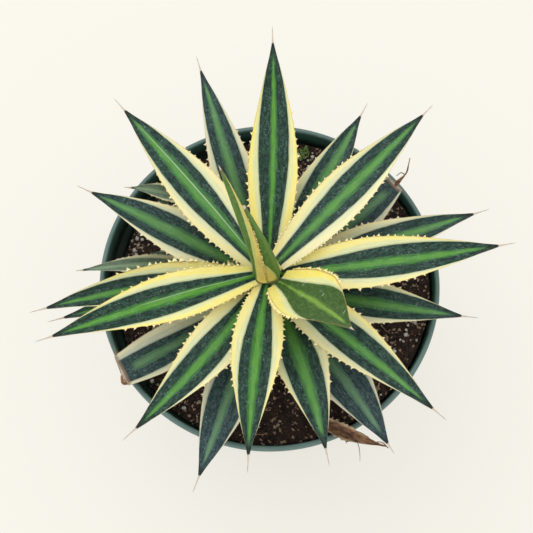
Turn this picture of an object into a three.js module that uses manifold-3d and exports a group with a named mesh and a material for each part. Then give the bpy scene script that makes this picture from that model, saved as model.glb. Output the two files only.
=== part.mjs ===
// A variegated agave in a round plastic nursery pot.
// Millimetres, +Z up. The origin is the centre of the underside of the pot, on the surface it
// stands on. +Y is the far side, and leaf headings are degrees clockwise from +Y, seen from above.
import * as THREE from 'three';
import { mergeVertices } from 'three/addons/utils/BufferGeometryUtils.js';
import Module from 'manifold-3d';

const wasm = await Module();
wasm.setup();

// ---- driving dimensions -------------------------------------------------------------------

// Pot: an 8.5 inch azalea pot with a flared lip above a stepped-out rim band.
const POT_HEIGHT = 160;
const POT_LIP_RADIUS = 108;
const POT_LIP_WIDTH = 3.2;
const POT_BAND_HEIGHT = 19;
const POT_BAND_RADIUS = 104.6;
const STEP_RISE = 3.5;
const POT_SHOULDER_RADIUS = 100.5;
const POT_FOOT_RADIUS = 74;
const POT_WALL = 1.8;
const POT_FLOOR = 3;
const POT_SEGMENTS = 56;
const DRAIN_HOLES = 6;
const DRAIN_HOLE_RADIUS = 4.5;
const DRAIN_CIRCLE_RADIUS = 55;
const DRAIN_HOLE_SEGMENTS = 16;

// Potting mix, filled to a little below the rim band.
const MIX_TOP = 146;
const MIX_SLOPE = 0.065;
const MIX_GAP = 0.35;
const MIX_ROUGHNESS = 1.2;
const MIX_SEGMENTS = 48;

// Plant: everything that grows stands on this axis.
const PLANT_X = -1;
const PLANT_Y = -2.5;
const STEM_BOTTOM = 118;
const STEM_TOP = 187;
const STEM_FOOT_RADIUS = 11;
const STEM_TOP_RADIUS = 7;
const STEM_SEGMENTS = 24;
const CROWN_HEIGHT = 190;
const CROWN_RADIUS = 9.6;
const CROWN_TIERS = 2;
const TIER_STEP = 1.9;
const LEAF_START_GAP = 0.7;
const SPINE_LENGTH = 10.5;
const SPINE_RADIUS = 0.55;

// Where the blade's cross sections stand, from its base at 0 to the start of its spine at 1.
const STATIONS = [0, 0.05, 0.12, 0.2, 0.3, 0.4, 0.5, 0.6, 0.7, 0.79, 0.87, 0.94, 1];

// Open leaves, in heading order. `tier` counts down the stem from the youngest leaf. `reach` is
// how far the spine's point is from the plant's axis, `tip` its height above the surface the pot
// stands on, `arch` how far the midrib rises over a straight line, and `bend` how far it bows to
// its clockwise side. `roll` and `tipRoll` turn the blade about its midrib.
const LEAVES = [
  { name: 'leaf_01', heading: 1, tier: 7, reach: 146, tip: 228, arch: 4, bend: 2, width: 32 },
  { name: 'leaf_02', heading: 30, tier: 10, reach: 127, tip: 195, arch: 6, bend: 1, width: 30 },
  { name: 'leaf_03', heading: 45, tier: 2, reach: 146, tip: 206, arch: 9, bend: 2, width: 31 },
  {
    name: 'leaf_04', heading: 52, tier: 20, reach: 105, tip: 170, arch: 4, bend: 2, width: 33,
    widest: 0.52, cut: 0.85, spine: 1.5,
  },
  { name: 'leaf_05', heading: 74, tier: 13, reach: 143, tip: 190, arch: 7, bend: 1, width: 30 },
  { name: 'leaf_06', heading: 86, tier: 5, reach: 148, tip: 210, arch: 8, bend: 4, width: 33 },
  { name: 'leaf_07', heading: 103, tier: 16, reach: 131, tip: 186, arch: 6, bend: 3, width: 31 },
  {
    name: 'leaf_08', heading: 140, tier: 0, reach: 73, tip: 255, arch: 2, bend: -1, width: 38,
    baseShare: 0.45, widest: 0.5, curl: 40, spine: 5,
  },
  { name: 'leaf_09', heading: 134, tier: 8, reach: 140, tip: 214, arch: 6, bend: 0, width: 32 },
  {
    name: 'leaf_10', heading: 146, tier: 19, reach: 133, tip: 178, arch: 6, bend: -2, width: 36,
    widest: 0.54, spine: 7,
  },
  { name: 'leaf_11', heading: 164, tier: 11, reach: 126, tip: 202, arch: 6, bend: -3, width: 35 },
  { name: 'leaf_12', heading: 185, tier: 3, reach: 129, tip: 228, arch: 5, bend: 2, width: 31 },
  {
    name: 'leaf_13', heading: 198, tier: 14, reach: 141, tip: 186, arch: 6, bend: -1, width: 32,
    widest: 0.56,
  },
  { name: 'leaf_14', heading: 217, tier: 6, reach: 136, tip: 214, arch: 6, bend: -5, width: 31 },
  {
    name: 'leaf_15', heading: 236, tier: 18, reach: 108, tip: 172, arch: 5, bend: -3, width: 30,
    widest: 0.52, cut: 0.7, spine: 1.2, thickness: 2.6,
  },
  { name: 'leaf_16', heading: 249, tier: 1, reach: 144, tip: 214, arch: 7, bend: -1, width: 31 },
  {
    name: 'leaf_17', heading: 258, tier: 9, reach: 145, tip: 200, arch: 7, bend: 3, width: 28,
    baseShare: 0.46,
  },
  {
    name: 'leaf_18', heading: 257, tier: 15, reach: 138, tip: 182, arch: 6, bend: 2, width: 24,
    baseShare: 0.35,
  },
  { name: 'leaf_19', heading: 294, tier: 12, reach: 130, tip: 196, arch: 5, bend: 0, width: 32 },
  { name: 'leaf_20', heading: 317, tier: 4, reach: 139, tip: 218, arch: 6, bend: -1, width: 33 },
  { name: 'leaf_21', heading: 342, tier: 15, reach: 149, tip: 198, arch: 6, bend: -1, width: 29 },
];

// Central spear: the youngest leaves are still rolled round each other in a leaning cone.
const SPEAR_FOOT = CROWN_HEIGHT + 1.5;
const SPEAR_HEADING = 322;
const SPEAR_REACH = 45;
const SPEAR_TOP = 270;
const SPEAR_RADIUS = 9.2;
const SPEAR_TAPER = 0.56;
const SPEAR_LEAN_SHARE = 0.25;

// The rolled leaves. `facing` is the heading that a leaf's back faces at its base, and `twist` how
// far that turns by its point. `span` and `tipSpan` are how far round the cone it wraps, `inset`
// how far its inner face lies under the outside of the cone, and `top` the share of the spear's
// length that it reaches.
const ROLLED_LEAVES = [
  {
    name: 'spear_outer', facing: 292, twist: -72, span: 206, tipSpan: 190, inset: 1.3,
    thickness: 1.3, top: 1,
  },
  {
    name: 'spear_inner', facing: 118, twist: -6, span: 190, tipSpan: 140, inset: 3, thickness: 1.2,
    top: 0.66,
  },
];
const ROLLED_STATIONS = [0, 0.06, 0.14, 0.24, 0.34, 0.44, 0.54, 0.64, 0.74, 0.83, 0.91, 0.96];
const ROLLED_COLUMNS = 10;

// The heart of the spear: how far inside the cone its side lies, and its share of the length.
const HEART_INSET = 5;
const HEART_SHARE = 0.5;
const HEART_SEGMENTS = 16;

// Two young offsets grow from the mix under the rosette. Each leaf's `end` is where its point is.
const OFFSETS = [
  {
    name: 'offset_a', x: -50, y: 57, foot: 144.5,
    leaves: [
      { end: [-70, 80, 180], arch: 5, bend: -4, width: 11 },
      { end: [-94, 60, 169], arch: 5, bend: 0, width: 12.5 },
      { end: [-80, 51, 161], arch: 4, bend: 0, width: 10 },
      { end: [-73, 47, 156], arch: 3, bend: -1, width: 8.5 },
    ],
  },
  {
    name: 'offset_b', x: -52, y: 15, foot: 144.5,
    leaves: [
      { end: [-122, 3, 170], arch: 7, bend: -1, width: 12 },
      { end: [-83, 18, 157], arch: 2, bend: 2, width: 8 },
    ],
  },
];
const OFFSET_SPINE = 5;
const OFFSET_THICKNESS = 1.5;
const OFFSET_RING = 3;
const OFFSET_LIFT = 3;
const OFFSET_BASE_SHARE = 0.6;
const OFFSET_CURL = 70;

// A dried leaf lies on the mix with its point over the lip.
const DEAD_LEAF = {
  start: new THREE.Vector3(24, -84, 150),
  end: new THREE.Vector3(71, -107, 168),
  arch: 6,
  bend: 3,
  width: 10,
  baseShare: 0.5,
  widest: 0.55,
  curl: 60,
  tipCurl: 120,
  roll: -12,
  tipRoll: 18,
  thickness: 1.1,
  spine: 3,
};

// ---- helpers ------------------------------------------------------------------------------

// The direction of a compass heading in the horizontal plane.
function headingVector(degrees) {
  const angle = THREE.MathUtils.degToRad(degrees);
  return new THREE.Vector3(Math.sin(angle), Math.cos(angle), 0);
}

// A small repeatable bump between -1 and 1 for the roughness of loose soil.
function bump(a, b) {
  const wave = Math.sin(a * 12.9898 + b * 78.233) * 43758.5453;
  return 2 * (wave - Math.floor(wave)) - 1;
}

// A closed mesh with shared vertices from a list of points and a list of triangles.
function solidGeometry(points, triangles) {
  const geometry = new THREE.BufferGeometry();
  geometry.setAttribute('position', new THREE.Float32BufferAttribute(points.flatMap((p) => p.toArray()), 3));
  geometry.setIndex(triangles.flat());
  geometry.computeVertexNormals();
  return geometry;
}

// Joins equal rings of points into a skin that ends in a point. The first ring is closed by a cap
// that zips the leaf's two faces together.
function loftToPoint(rings, apex) {
  const count = rings[0].length;
  const points = rings.flat();
  const triangles = [];
  for (let k = 0; k + 1 < rings.length; k += 1) {
    for (let i = 0; i < count; i += 1) {
      const a = k * count + i;
      const b = k * count + ((i + 1) % count);
      triangles.push([a, b, b + count], [a, b + count, a + count]);
    }
  }
  const last = (rings.length - 1) * count;
  points.push(apex);
  for (let i = 0; i < count; i += 1) {
    triangles.push([last + i, last + ((i + 1) % count), points.length - 1]);
  }
  const half = count / 2;
  for (let i = 0; i < half; i += 1) {
    const upper = i;
    const lower = (count - i) % count;
    if (i > 0) {
      triangles.push([upper, lower, upper + 1]);
    }
    if (i + 1 < half) {
      triangles.push([upper + 1, lower, lower === 0 ? count - 1 : lower - 1]);
    }
  }
  return solidGeometry(points, triangles);
}

// One cross section of a leaf: an arc of the blade's width, curled up at its margins, thick in
// the middle and thin at the margins. The ring runs left to right over the upper face and back
// under the lower face. `side` points right, `up` points out of the upper face.
function leafSection(centre, side, up, width, curl, thickness, columns) {
  const upper = [];
  const lower = [];
  const radius = width / Math.max(curl, 0.02);
  for (let i = 0; i <= columns; i += 1) {
    const u = (2 * i) / columns - 1;
    const angle = (u * curl) / 2;
    const rim = Math.abs(u) === 1;
    const depth = rim ? 0 : thickness * (1 - 0.75 * Math.abs(u) ** 2.2);
    const place = (r) => centre.clone()
      .addScaledVector(side, r * Math.sin(angle))
      .addScaledVector(up, radius - r * Math.cos(angle));
    upper.push(place(radius));
    if (!rim) {
      lower.unshift(place(radius + depth));
    }
  }
  return [...upper, ...lower];
}

// The blade's outline: a clasping base, the widest place a little before the middle, a long
// taper, and a needle of a spine. `s` runs from 0 at the base to 1 where the spine starts.
function bladeWidth(s, width, baseShare, widest) {
  if (s < widest) {
    const rise = Math.sin((s / widest) * (Math.PI / 2));
    return width * (baseShare + (1 - baseShare) * rise);
  }
  const fall = (s - widest) / (1 - widest);
  return width * (1 - fall ** 1.5);
}

// A leaf lofted along its midrib. A leaf with a `cut` under 1 is broken off at that share of its
// blade, and `end` is then where the break is.
function leafGeometry(leaf) {
  const {
    start, end, arch = 6, bend = 0, width = 31, baseShare = 0.42, widest = 0.44, curl = 50,
    tipCurl = 95, roll = 0, tipRoll = 0, thickness = 3.2, spine = SPINE_LENGTH, columns = 4,
    cut = 1,
  } = leaf;
  const chord = end.clone().sub(start);
  const sideways = new THREE.Vector3(chord.y, -chord.x, 0).normalize();
  const rib = new THREE.QuadraticBezierCurve3(
    start,
    start.clone().addScaledVector(chord, 0.48).addScaledVector(sideways, 2 * bend)
      .add(new THREE.Vector3(0, 0, 2 * arch)),
    end,
  );
  const length = rib.getLength();
  const bladeShare = 1 - spine / length;
  const rings = STATIONS.map((s) => {
    const centre = rib.getPointAt(s * bladeShare);
    const tangent = rib.getTangentAt(s * bladeShare);
    const level = new THREE.Vector3(tangent.y, -tangent.x, 0).normalize();
    const turn = THREE.MathUtils.degToRad(roll + (tipRoll - roll) * s);
    const side = level.clone().applyAxisAngle(tangent, turn);
    const up = side.clone().cross(tangent).normalize();
    const wide = Math.max(bladeWidth(s * cut, width, baseShare, widest), 2 * SPINE_RADIUS);
    const bow = THREE.MathUtils.degToRad(curl + (tipCurl - curl) * s ** 2);
    const deep = Math.min(thickness * (1.15 - 0.55 * s), 0.8 * wide);
    return leafSection(centre, side, up, wide, bow, deep, columns);
  });
  return loftToPoint(rings, end);
}

// ---- pot ----------------------------------------------------------------------------------

function potWallRadius(z) {
  const top = POT_HEIGHT - POT_BAND_HEIGHT;
  return POT_FOOT_RADIUS + ((POT_SHOULDER_RADIUS - POT_FOOT_RADIUS) * z) / top;
}

function solidOf(geometry) {
  const bare = geometry.clone();
  bare.deleteAttribute('normal');
  bare.deleteAttribute('uv');
  const merged = mergeVertices(bare, 1e-4);
  return new wasm.Manifold(new wasm.Mesh({
    numProp: 3,
    vertProperties: new Float32Array(merged.attributes.position.array),
    triVerts: new Uint32Array(merged.index.array),
  }));
}

function geometryOf(solid) {
  const mesh = solid.getMesh();
  const geometry = new THREE.BufferGeometry();
  geometry.setAttribute('position', new THREE.BufferAttribute(new Float32Array(mesh.vertProperties), 3));
  geometry.setIndex(new THREE.BufferAttribute(new Uint32Array(mesh.triVerts), 1));
  geometry.computeVertexNormals();
  return geometry;
}

// A lathe about Z from a profile of [radius, height] pairs, run up the outside first.
function lathe(profile, segments) {
  const geometry = new THREE.LatheGeometry(profile.map(([r, z]) => new THREE.Vector2(r, z)), segments);
  return geometry.rotateX(Math.PI / 2);
}

function potGeometry() {
  const bandFoot = POT_HEIGHT - POT_BAND_HEIGHT;
  const lipInner = POT_LIP_RADIUS - POT_LIP_WIDTH;
  const profile = [
    [0, 0],
    [POT_FOOT_RADIUS - 2, 0],
    [POT_FOOT_RADIUS, 2],
    [potWallRadius(bandFoot * 0.5), bandFoot * 0.5],
    [POT_SHOULDER_RADIUS, bandFoot],
    [POT_BAND_RADIUS, bandFoot + 1],
    [POT_BAND_RADIUS + 1, POT_HEIGHT - 6],
    [POT_LIP_RADIUS, POT_HEIGHT - 4],
    [POT_LIP_RADIUS, POT_HEIGHT - 1],
    [POT_LIP_RADIUS - 0.9, POT_HEIGHT],
    [lipInner + 0.6, POT_HEIGHT],
    [lipInner, POT_HEIGHT - 0.8],
    [POT_BAND_RADIUS - POT_WALL, bandFoot + STEP_RISE],
    [POT_SHOULDER_RADIUS - POT_WALL, bandFoot - 1],
    [potWallRadius(POT_FLOOR + 2) - POT_WALL, POT_FLOOR + 2],
    [potWallRadius(POT_FLOOR + 2) - POT_WALL - 2, POT_FLOOR],
    [0, POT_FLOOR],
  ];
  let solid = solidOf(lathe(profile, POT_SEGMENTS));
  for (let i = 0; i < DRAIN_HOLES; i += 1) {
    const angle = ((i + 0.5) * 2 * Math.PI) / DRAIN_HOLES;
    const depth = 4 * POT_FLOOR;
    const bore = [DRAIN_HOLE_RADIUS, DRAIN_HOLE_RADIUS, depth, DRAIN_HOLE_SEGMENTS];
    const hole = new THREE.CylinderGeometry(...bore)
      .rotateX(Math.PI / 2)
      .translate(DRAIN_CIRCLE_RADIUS * Math.cos(angle), DRAIN_CIRCLE_RADIUS * Math.sin(angle), 0);
    solid = solid.subtract(solidOf(hole));
  }
  return geometryOf(solid);
}

// ---- potting mix and stem -----------------------------------------------------------------

function stemRadius(z) {
  const share = (z - STEM_BOTTOM) / (STEM_TOP - STEM_BOTTOM);
  return STEM_FOOT_RADIUS + (STEM_TOP_RADIUS - STEM_FOOT_RADIUS) * share;
}

// The radius of the pot's inner wall at a height, over the step under its rim band.
function potInnerRadius(z) {
  const bandFoot = POT_HEIGHT - POT_BAND_HEIGHT;
  const step = (z - bandFoot + 1) / (STEP_RISE + 1);
  const band = POT_BAND_RADIUS - POT_WALL;
  if (step < 0) {
    return potWallRadius(z) - POT_WALL;
  }
  return Math.min(THREE.MathUtils.lerp(POT_SHOULDER_RADIUS - POT_WALL, band, step), band);
}

// The mix fills the pot to its wall. Its lumpy top slopes up to the right, and the stem grows
// from a pocket in it, off the pot's centre with the plant.
function mixGeometry() {
  const floor = POT_FLOOR + MIX_GAP;
  const bandFoot = POT_HEIGHT - POT_BAND_HEIGHT;
  const pocket = STEM_FOOT_RADIUS + MIX_GAP;
  const wall = (z) => potInnerRadius(z) - MIX_GAP;
  const under = (z) => (top) => Math.min(z, top - 0.3);
  const rings = [
    { radius: () => wall(floor + 3) - 3, height: () => floor },
    { radius: wall, height: () => floor + 3 },
    { radius: wall, height: () => bandFoot - 4 },
    { radius: wall, height: under(bandFoot - 1.1) },
    { radius: wall, height: under(bandFoot + STEP_RISE) },
    { radius: wall, height: (top) => top },
    ...[92, 76, 60, 44, 28].map((r) => (
      { radius: () => r, height: (top) => top, lump: MIX_ROUGHNESS, lean: (92 - r) / 64 }
    )),
    { radius: () => pocket, height: (top) => top, lean: 1 },
    { radius: () => pocket, height: () => STEM_BOTTOM - MIX_GAP, lean: 1 },
  ];
  const points = [];
  const triangles = [];
  rings.forEach(({ radius, height, lump = 0, lean = 0 }, k) => {
    for (let i = 0; i < MIX_SEGMENTS; i += 1) {
      const angle = (i * 2 * Math.PI) / MIX_SEGMENTS;
      const guess = height(MIX_TOP + MIX_SLOPE * radius(MIX_TOP) * Math.cos(angle));
      const r = radius(guess);
      const x = r * Math.cos(angle) + PLANT_X * lean;
      const y = r * Math.sin(angle) + PLANT_Y * lean;
      points.push(new THREE.Vector3(x, y, guess + lump * bump(i, k)));
    }
  });
  for (let k = 0; k + 1 < rings.length; k += 1) {
    for (let i = 0; i < MIX_SEGMENTS; i += 1) {
      const a = k * MIX_SEGMENTS + i;
      const b = k * MIX_SEGMENTS + ((i + 1) % MIX_SEGMENTS);
      triangles.push([a, b, b + MIX_SEGMENTS], [a, b + MIX_SEGMENTS, a + MIX_SEGMENTS]);
    }
  }
  const underside = points.push(new THREE.Vector3(0, 0, floor)) - 1;
  const inside = points.push(new THREE.Vector3(PLANT_X, PLANT_Y, STEM_BOTTOM - MIX_GAP)) - 1;
  const last = (rings.length - 1) * MIX_SEGMENTS;
  for (let i = 0; i < MIX_SEGMENTS; i += 1) {
    const next = (i + 1) % MIX_SEGMENTS;
    triangles.push([next, i, underside], [last + i, last + next, inside]);
  }
  return solidGeometry(points, triangles);
}

function stemGeometry() {
  return lathe([
    [0, STEM_BOTTOM],
    [STEM_FOOT_RADIUS - 1.5, STEM_BOTTOM],
    [STEM_FOOT_RADIUS, STEM_BOTTOM + 2],
    [stemRadius(MIX_TOP + 6), MIX_TOP + 6],
    [STEM_TOP_RADIUS, STEM_TOP - 2],
    [STEM_TOP_RADIUS - 1.5, STEM_TOP],
    [0, STEM_TOP],
  ], STEM_SEGMENTS);
}

// ---- rosette ------------------------------------------------------------------------------

function rosetteLeafGeometry(leaf) {
  const height = CROWN_HEIGHT - leaf.tier * TIER_STEP;
  const outward = headingVector(leaf.heading);
  const foot = leaf.tier < CROWN_TIERS ? CROWN_RADIUS : stemRadius(height) + LEAF_START_GAP;
  const start = outward.clone().multiplyScalar(foot).setZ(height);
  const end = outward.clone().multiplyScalar(leaf.reach).setZ(leaf.tip);
  return leafGeometry({ ...leaf, start, end });
}

// ---- central spear ------------------------------------------------------------------------

function spearAxis() {
  const end = headingVector(SPEAR_HEADING).multiplyScalar(SPEAR_REACH).setZ(SPEAR_TOP);
  const middle = end.clone().multiplyScalar(SPEAR_LEAN_SHARE).setZ((SPEAR_FOOT + SPEAR_TOP) / 2);
  return new THREE.QuadraticBezierCurve3(new THREE.Vector3(0, 0, SPEAR_FOOT), middle, end);
}

function spearRadius(t) {
  return SPEAR_RADIUS * (1 - t) ** SPEAR_TAPER;
}

function rolledLeafGeometry({ facing, twist, span, tipSpan, inset, thickness, top }) {
  const axis = spearAxis();
  const rings = ROLLED_STATIONS.map((s) => {
    const t = s * top;
    const tangent = axis.getTangentAt(t);
    const back = headingVector(facing + twist * s);
    const up = back.clone().addScaledVector(tangent, -back.dot(tangent)).normalize().negate();
    const side = tangent.clone().cross(up).normalize();
    const radius = Math.max(spearRadius(t) - inset, 0.35);
    const wrap = THREE.MathUtils.degToRad(span + (tipSpan - span) * s);
    const deep = thickness * (1 - 0.7 * s);
    const middle = axis.getPointAt(t).addScaledVector(up, -radius);
    return leafSection(middle, side, up, radius * wrap, wrap, deep, ROLLED_COLUMNS);
  });
  return loftToPoint(rings, axis.getPointAt(top));
}

// The unopened heart of the spear, a pointed bud of leaves too tight to tell apart.
function heartMesh() {
  const axis = spearAxis();
  const height = axis.getLength() * HEART_SHARE;
  const radius = SPEAR_RADIUS - HEART_INSET;
  const geometry = lathe([
    [0, 0],
    [radius * 0.8, 0],
    [radius, 1.5],
    [radius * 0.85, height * 0.35],
    [radius * 0.5, height * 0.7],
    [radius * 0.2, height * 0.92],
    [0, height],
  ], HEART_SEGMENTS);
  const mesh = piece('spear_heart', geometry, young);
  const lean = axis.getPointAt(0.3).sub(axis.getPointAt(0)).normalize();
  mesh.position.copy(axis.getPointAt(0));
  mesh.quaternion.setFromUnitVectors(new THREE.Vector3(0, 0, 1), lean);
  return mesh;
}

// ---- offsets and the dead leaf --------------------------------------------------------------

function offsetLeafGeometry(offset, leaf, index) {
  const end = new THREE.Vector3(...leaf.end);
  const crown = new THREE.Vector3(offset.x, offset.y, offset.foot);
  const outward = end.clone().sub(crown).setZ(0).normalize();
  const start = crown.addScaledVector(outward, OFFSET_RING);
  start.z += OFFSET_LIFT * (offset.leaves.length - index);
  return leafGeometry({
    ...leaf,
    start,
    end,
    thickness: OFFSET_THICKNESS,
    spine: OFFSET_SPINE,
    baseShare: OFFSET_BASE_SHARE,
    curl: OFFSET_CURL,
  });
}

// ---- assembly -----------------------------------------------------------------------------

const plastic = new THREE.MeshStandardMaterial({ color: '#2f4f4c', roughness: 0.45, metalness: 0 });
const peat = new THREE.MeshStandardMaterial({ color: '#33261f', roughness: 1, metalness: 0 });
const bark = new THREE.MeshStandardMaterial({ color: '#8a8458', roughness: 0.8, metalness: 0 });
const blade = new THREE.MeshStandardMaterial({ color: '#4f6f55', roughness: 0.5, metalness: 0 });
const young = new THREE.MeshStandardMaterial({ color: '#7f9a4a', roughness: 0.45, metalness: 0 });
const offsetBlade = new THREE.MeshStandardMaterial({ color: '#6f8468', roughness: 0.55, metalness: 0 });
const dry = new THREE.MeshStandardMaterial({ color: '#6b4a36', roughness: 0.9, metalness: 0 });

function piece(name, geometry, material) {
  const mesh = new THREE.Mesh(geometry, material.clone());
  mesh.name = name;
  return mesh;
}

const agave = new THREE.Group();
agave.add(piece('pot', potGeometry(), plastic));
agave.add(piece('potting_mix', mixGeometry(), peat));

const plant = new THREE.Group();
plant.position.set(PLANT_X, PLANT_Y, 0);
agave.add(plant);
plant.add(piece('stem', stemGeometry(), bark));
for (const leaf of LEAVES) {
  plant.add(piece(leaf.name, rosetteLeafGeometry(leaf), blade));
}

plant.add(heartMesh());
for (const leaf of ROLLED_LEAVES) {
  plant.add(piece(leaf.name, rolledLeafGeometry(leaf), young));
}
for (const offset of OFFSETS) {
  offset.leaves.forEach((leaf, i) => {
    agave.add(piece(`${offset.name}_leaf_${i + 1}`, offsetLeafGeometry(offset, leaf, i), offsetBlade));
  });
}
agave.add(piece('dead_leaf', leafGeometry(DEAD_LEAF), dry));

export default agave;
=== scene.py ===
"""Visual model of a variegated agave in a round nursery pot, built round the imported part.

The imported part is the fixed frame. Each leaf is read back from its node as a row of rings, made into a
fine smooth blade with teeth and a spine, and dressed with striped procedural skin.
"""

import logging
import math
from collections.abc import Sequence
from dataclasses import dataclass, field
from enum import Enum

import bmesh
import bpy
import numpy as np
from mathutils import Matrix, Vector, noise
from mathutils.bvhtree import BVHTree
from mathutils.geometry import delaunay_2d_cdt


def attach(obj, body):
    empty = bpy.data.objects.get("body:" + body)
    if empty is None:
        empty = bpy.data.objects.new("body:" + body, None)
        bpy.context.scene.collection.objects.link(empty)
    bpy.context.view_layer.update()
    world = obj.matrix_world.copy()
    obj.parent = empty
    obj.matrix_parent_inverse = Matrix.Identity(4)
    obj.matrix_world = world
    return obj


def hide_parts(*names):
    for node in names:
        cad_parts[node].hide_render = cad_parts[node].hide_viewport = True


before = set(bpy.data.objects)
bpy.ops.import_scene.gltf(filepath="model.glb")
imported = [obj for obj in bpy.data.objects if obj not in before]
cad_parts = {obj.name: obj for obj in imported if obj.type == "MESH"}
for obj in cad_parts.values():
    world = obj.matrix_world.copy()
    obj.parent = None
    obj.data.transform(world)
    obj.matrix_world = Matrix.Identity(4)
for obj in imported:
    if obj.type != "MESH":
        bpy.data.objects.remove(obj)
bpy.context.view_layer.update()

LOG = logging.getLogger("agave")
MM = 0.001
Colour = tuple[float, float, float]
Socket = bpy.types.NodeSocket


def shade(red: int, green: int, blue: int) -> Colour:
    """Turn a display colour from 0 to 255 into linear light.

    Args:
        red: Red as shown on a screen.
        green: Green as shown on a screen.
        blue: Blue as shown on a screen.

    Returns:
        The same colour in linear light.
    """
    shown = np.array([red, green, blue]) / 255
    low = shown / 12.92
    high = ((shown + 0.055) / 1.055) ** 2.4
    return tuple(float(c) for c in np.where(shown <= 0.04045, low, high))


def between(first: Colour, second: Colour, share: float) -> Colour:
    """Mix two colours.

    Args:
        first: Colour at share 0.
        second: Colour at share 1.
        share: How far to go from the first to the second.

    Returns:
        The mixed colour.
    """
    return tuple(a + (b - a) * share for a, b in zip(first, second, strict=True))


def unit(vector: np.ndarray) -> np.ndarray:
    """Scale vectors to length 1.

    Args:
        vector: One vector, or an array of them in the last axis.

    Returns:
        The same directions with length 1.
    """
    length = np.linalg.norm(vector, axis=-1, keepdims=True)
    return vector / np.maximum(length, 1e-12)


def smooth_through(knots: np.ndarray, values: np.ndarray, at: np.ndarray) -> np.ndarray:
    """Read a smooth curve that passes through given values.

    Args:
        knots: Rising places where the values hold.
        values: One value, point or ring for each knot.
        at: Places where the curve is wanted.

    Returns:
        The value of the curve at each wanted place.
    """
    slopes = np.gradient(values, knots, axis=0)
    span = np.clip(np.searchsorted(knots, at, side="right") - 1, 0, len(knots) - 2)
    shape = (-1,) + (1,) * (values.ndim - 1)
    width = (knots[span + 1] - knots[span]).reshape(shape)
    t = (at - knots[span]).reshape(shape) / width
    start = values[span] * (1 + 2 * t) * (1 - t) ** 2 + slopes[span] * width * t * (1 - t) ** 2
    end = values[span + 1] * t * t * (3 - 2 * t) + slopes[span + 1] * width * t * t * (t - 1)
    return start + end


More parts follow.
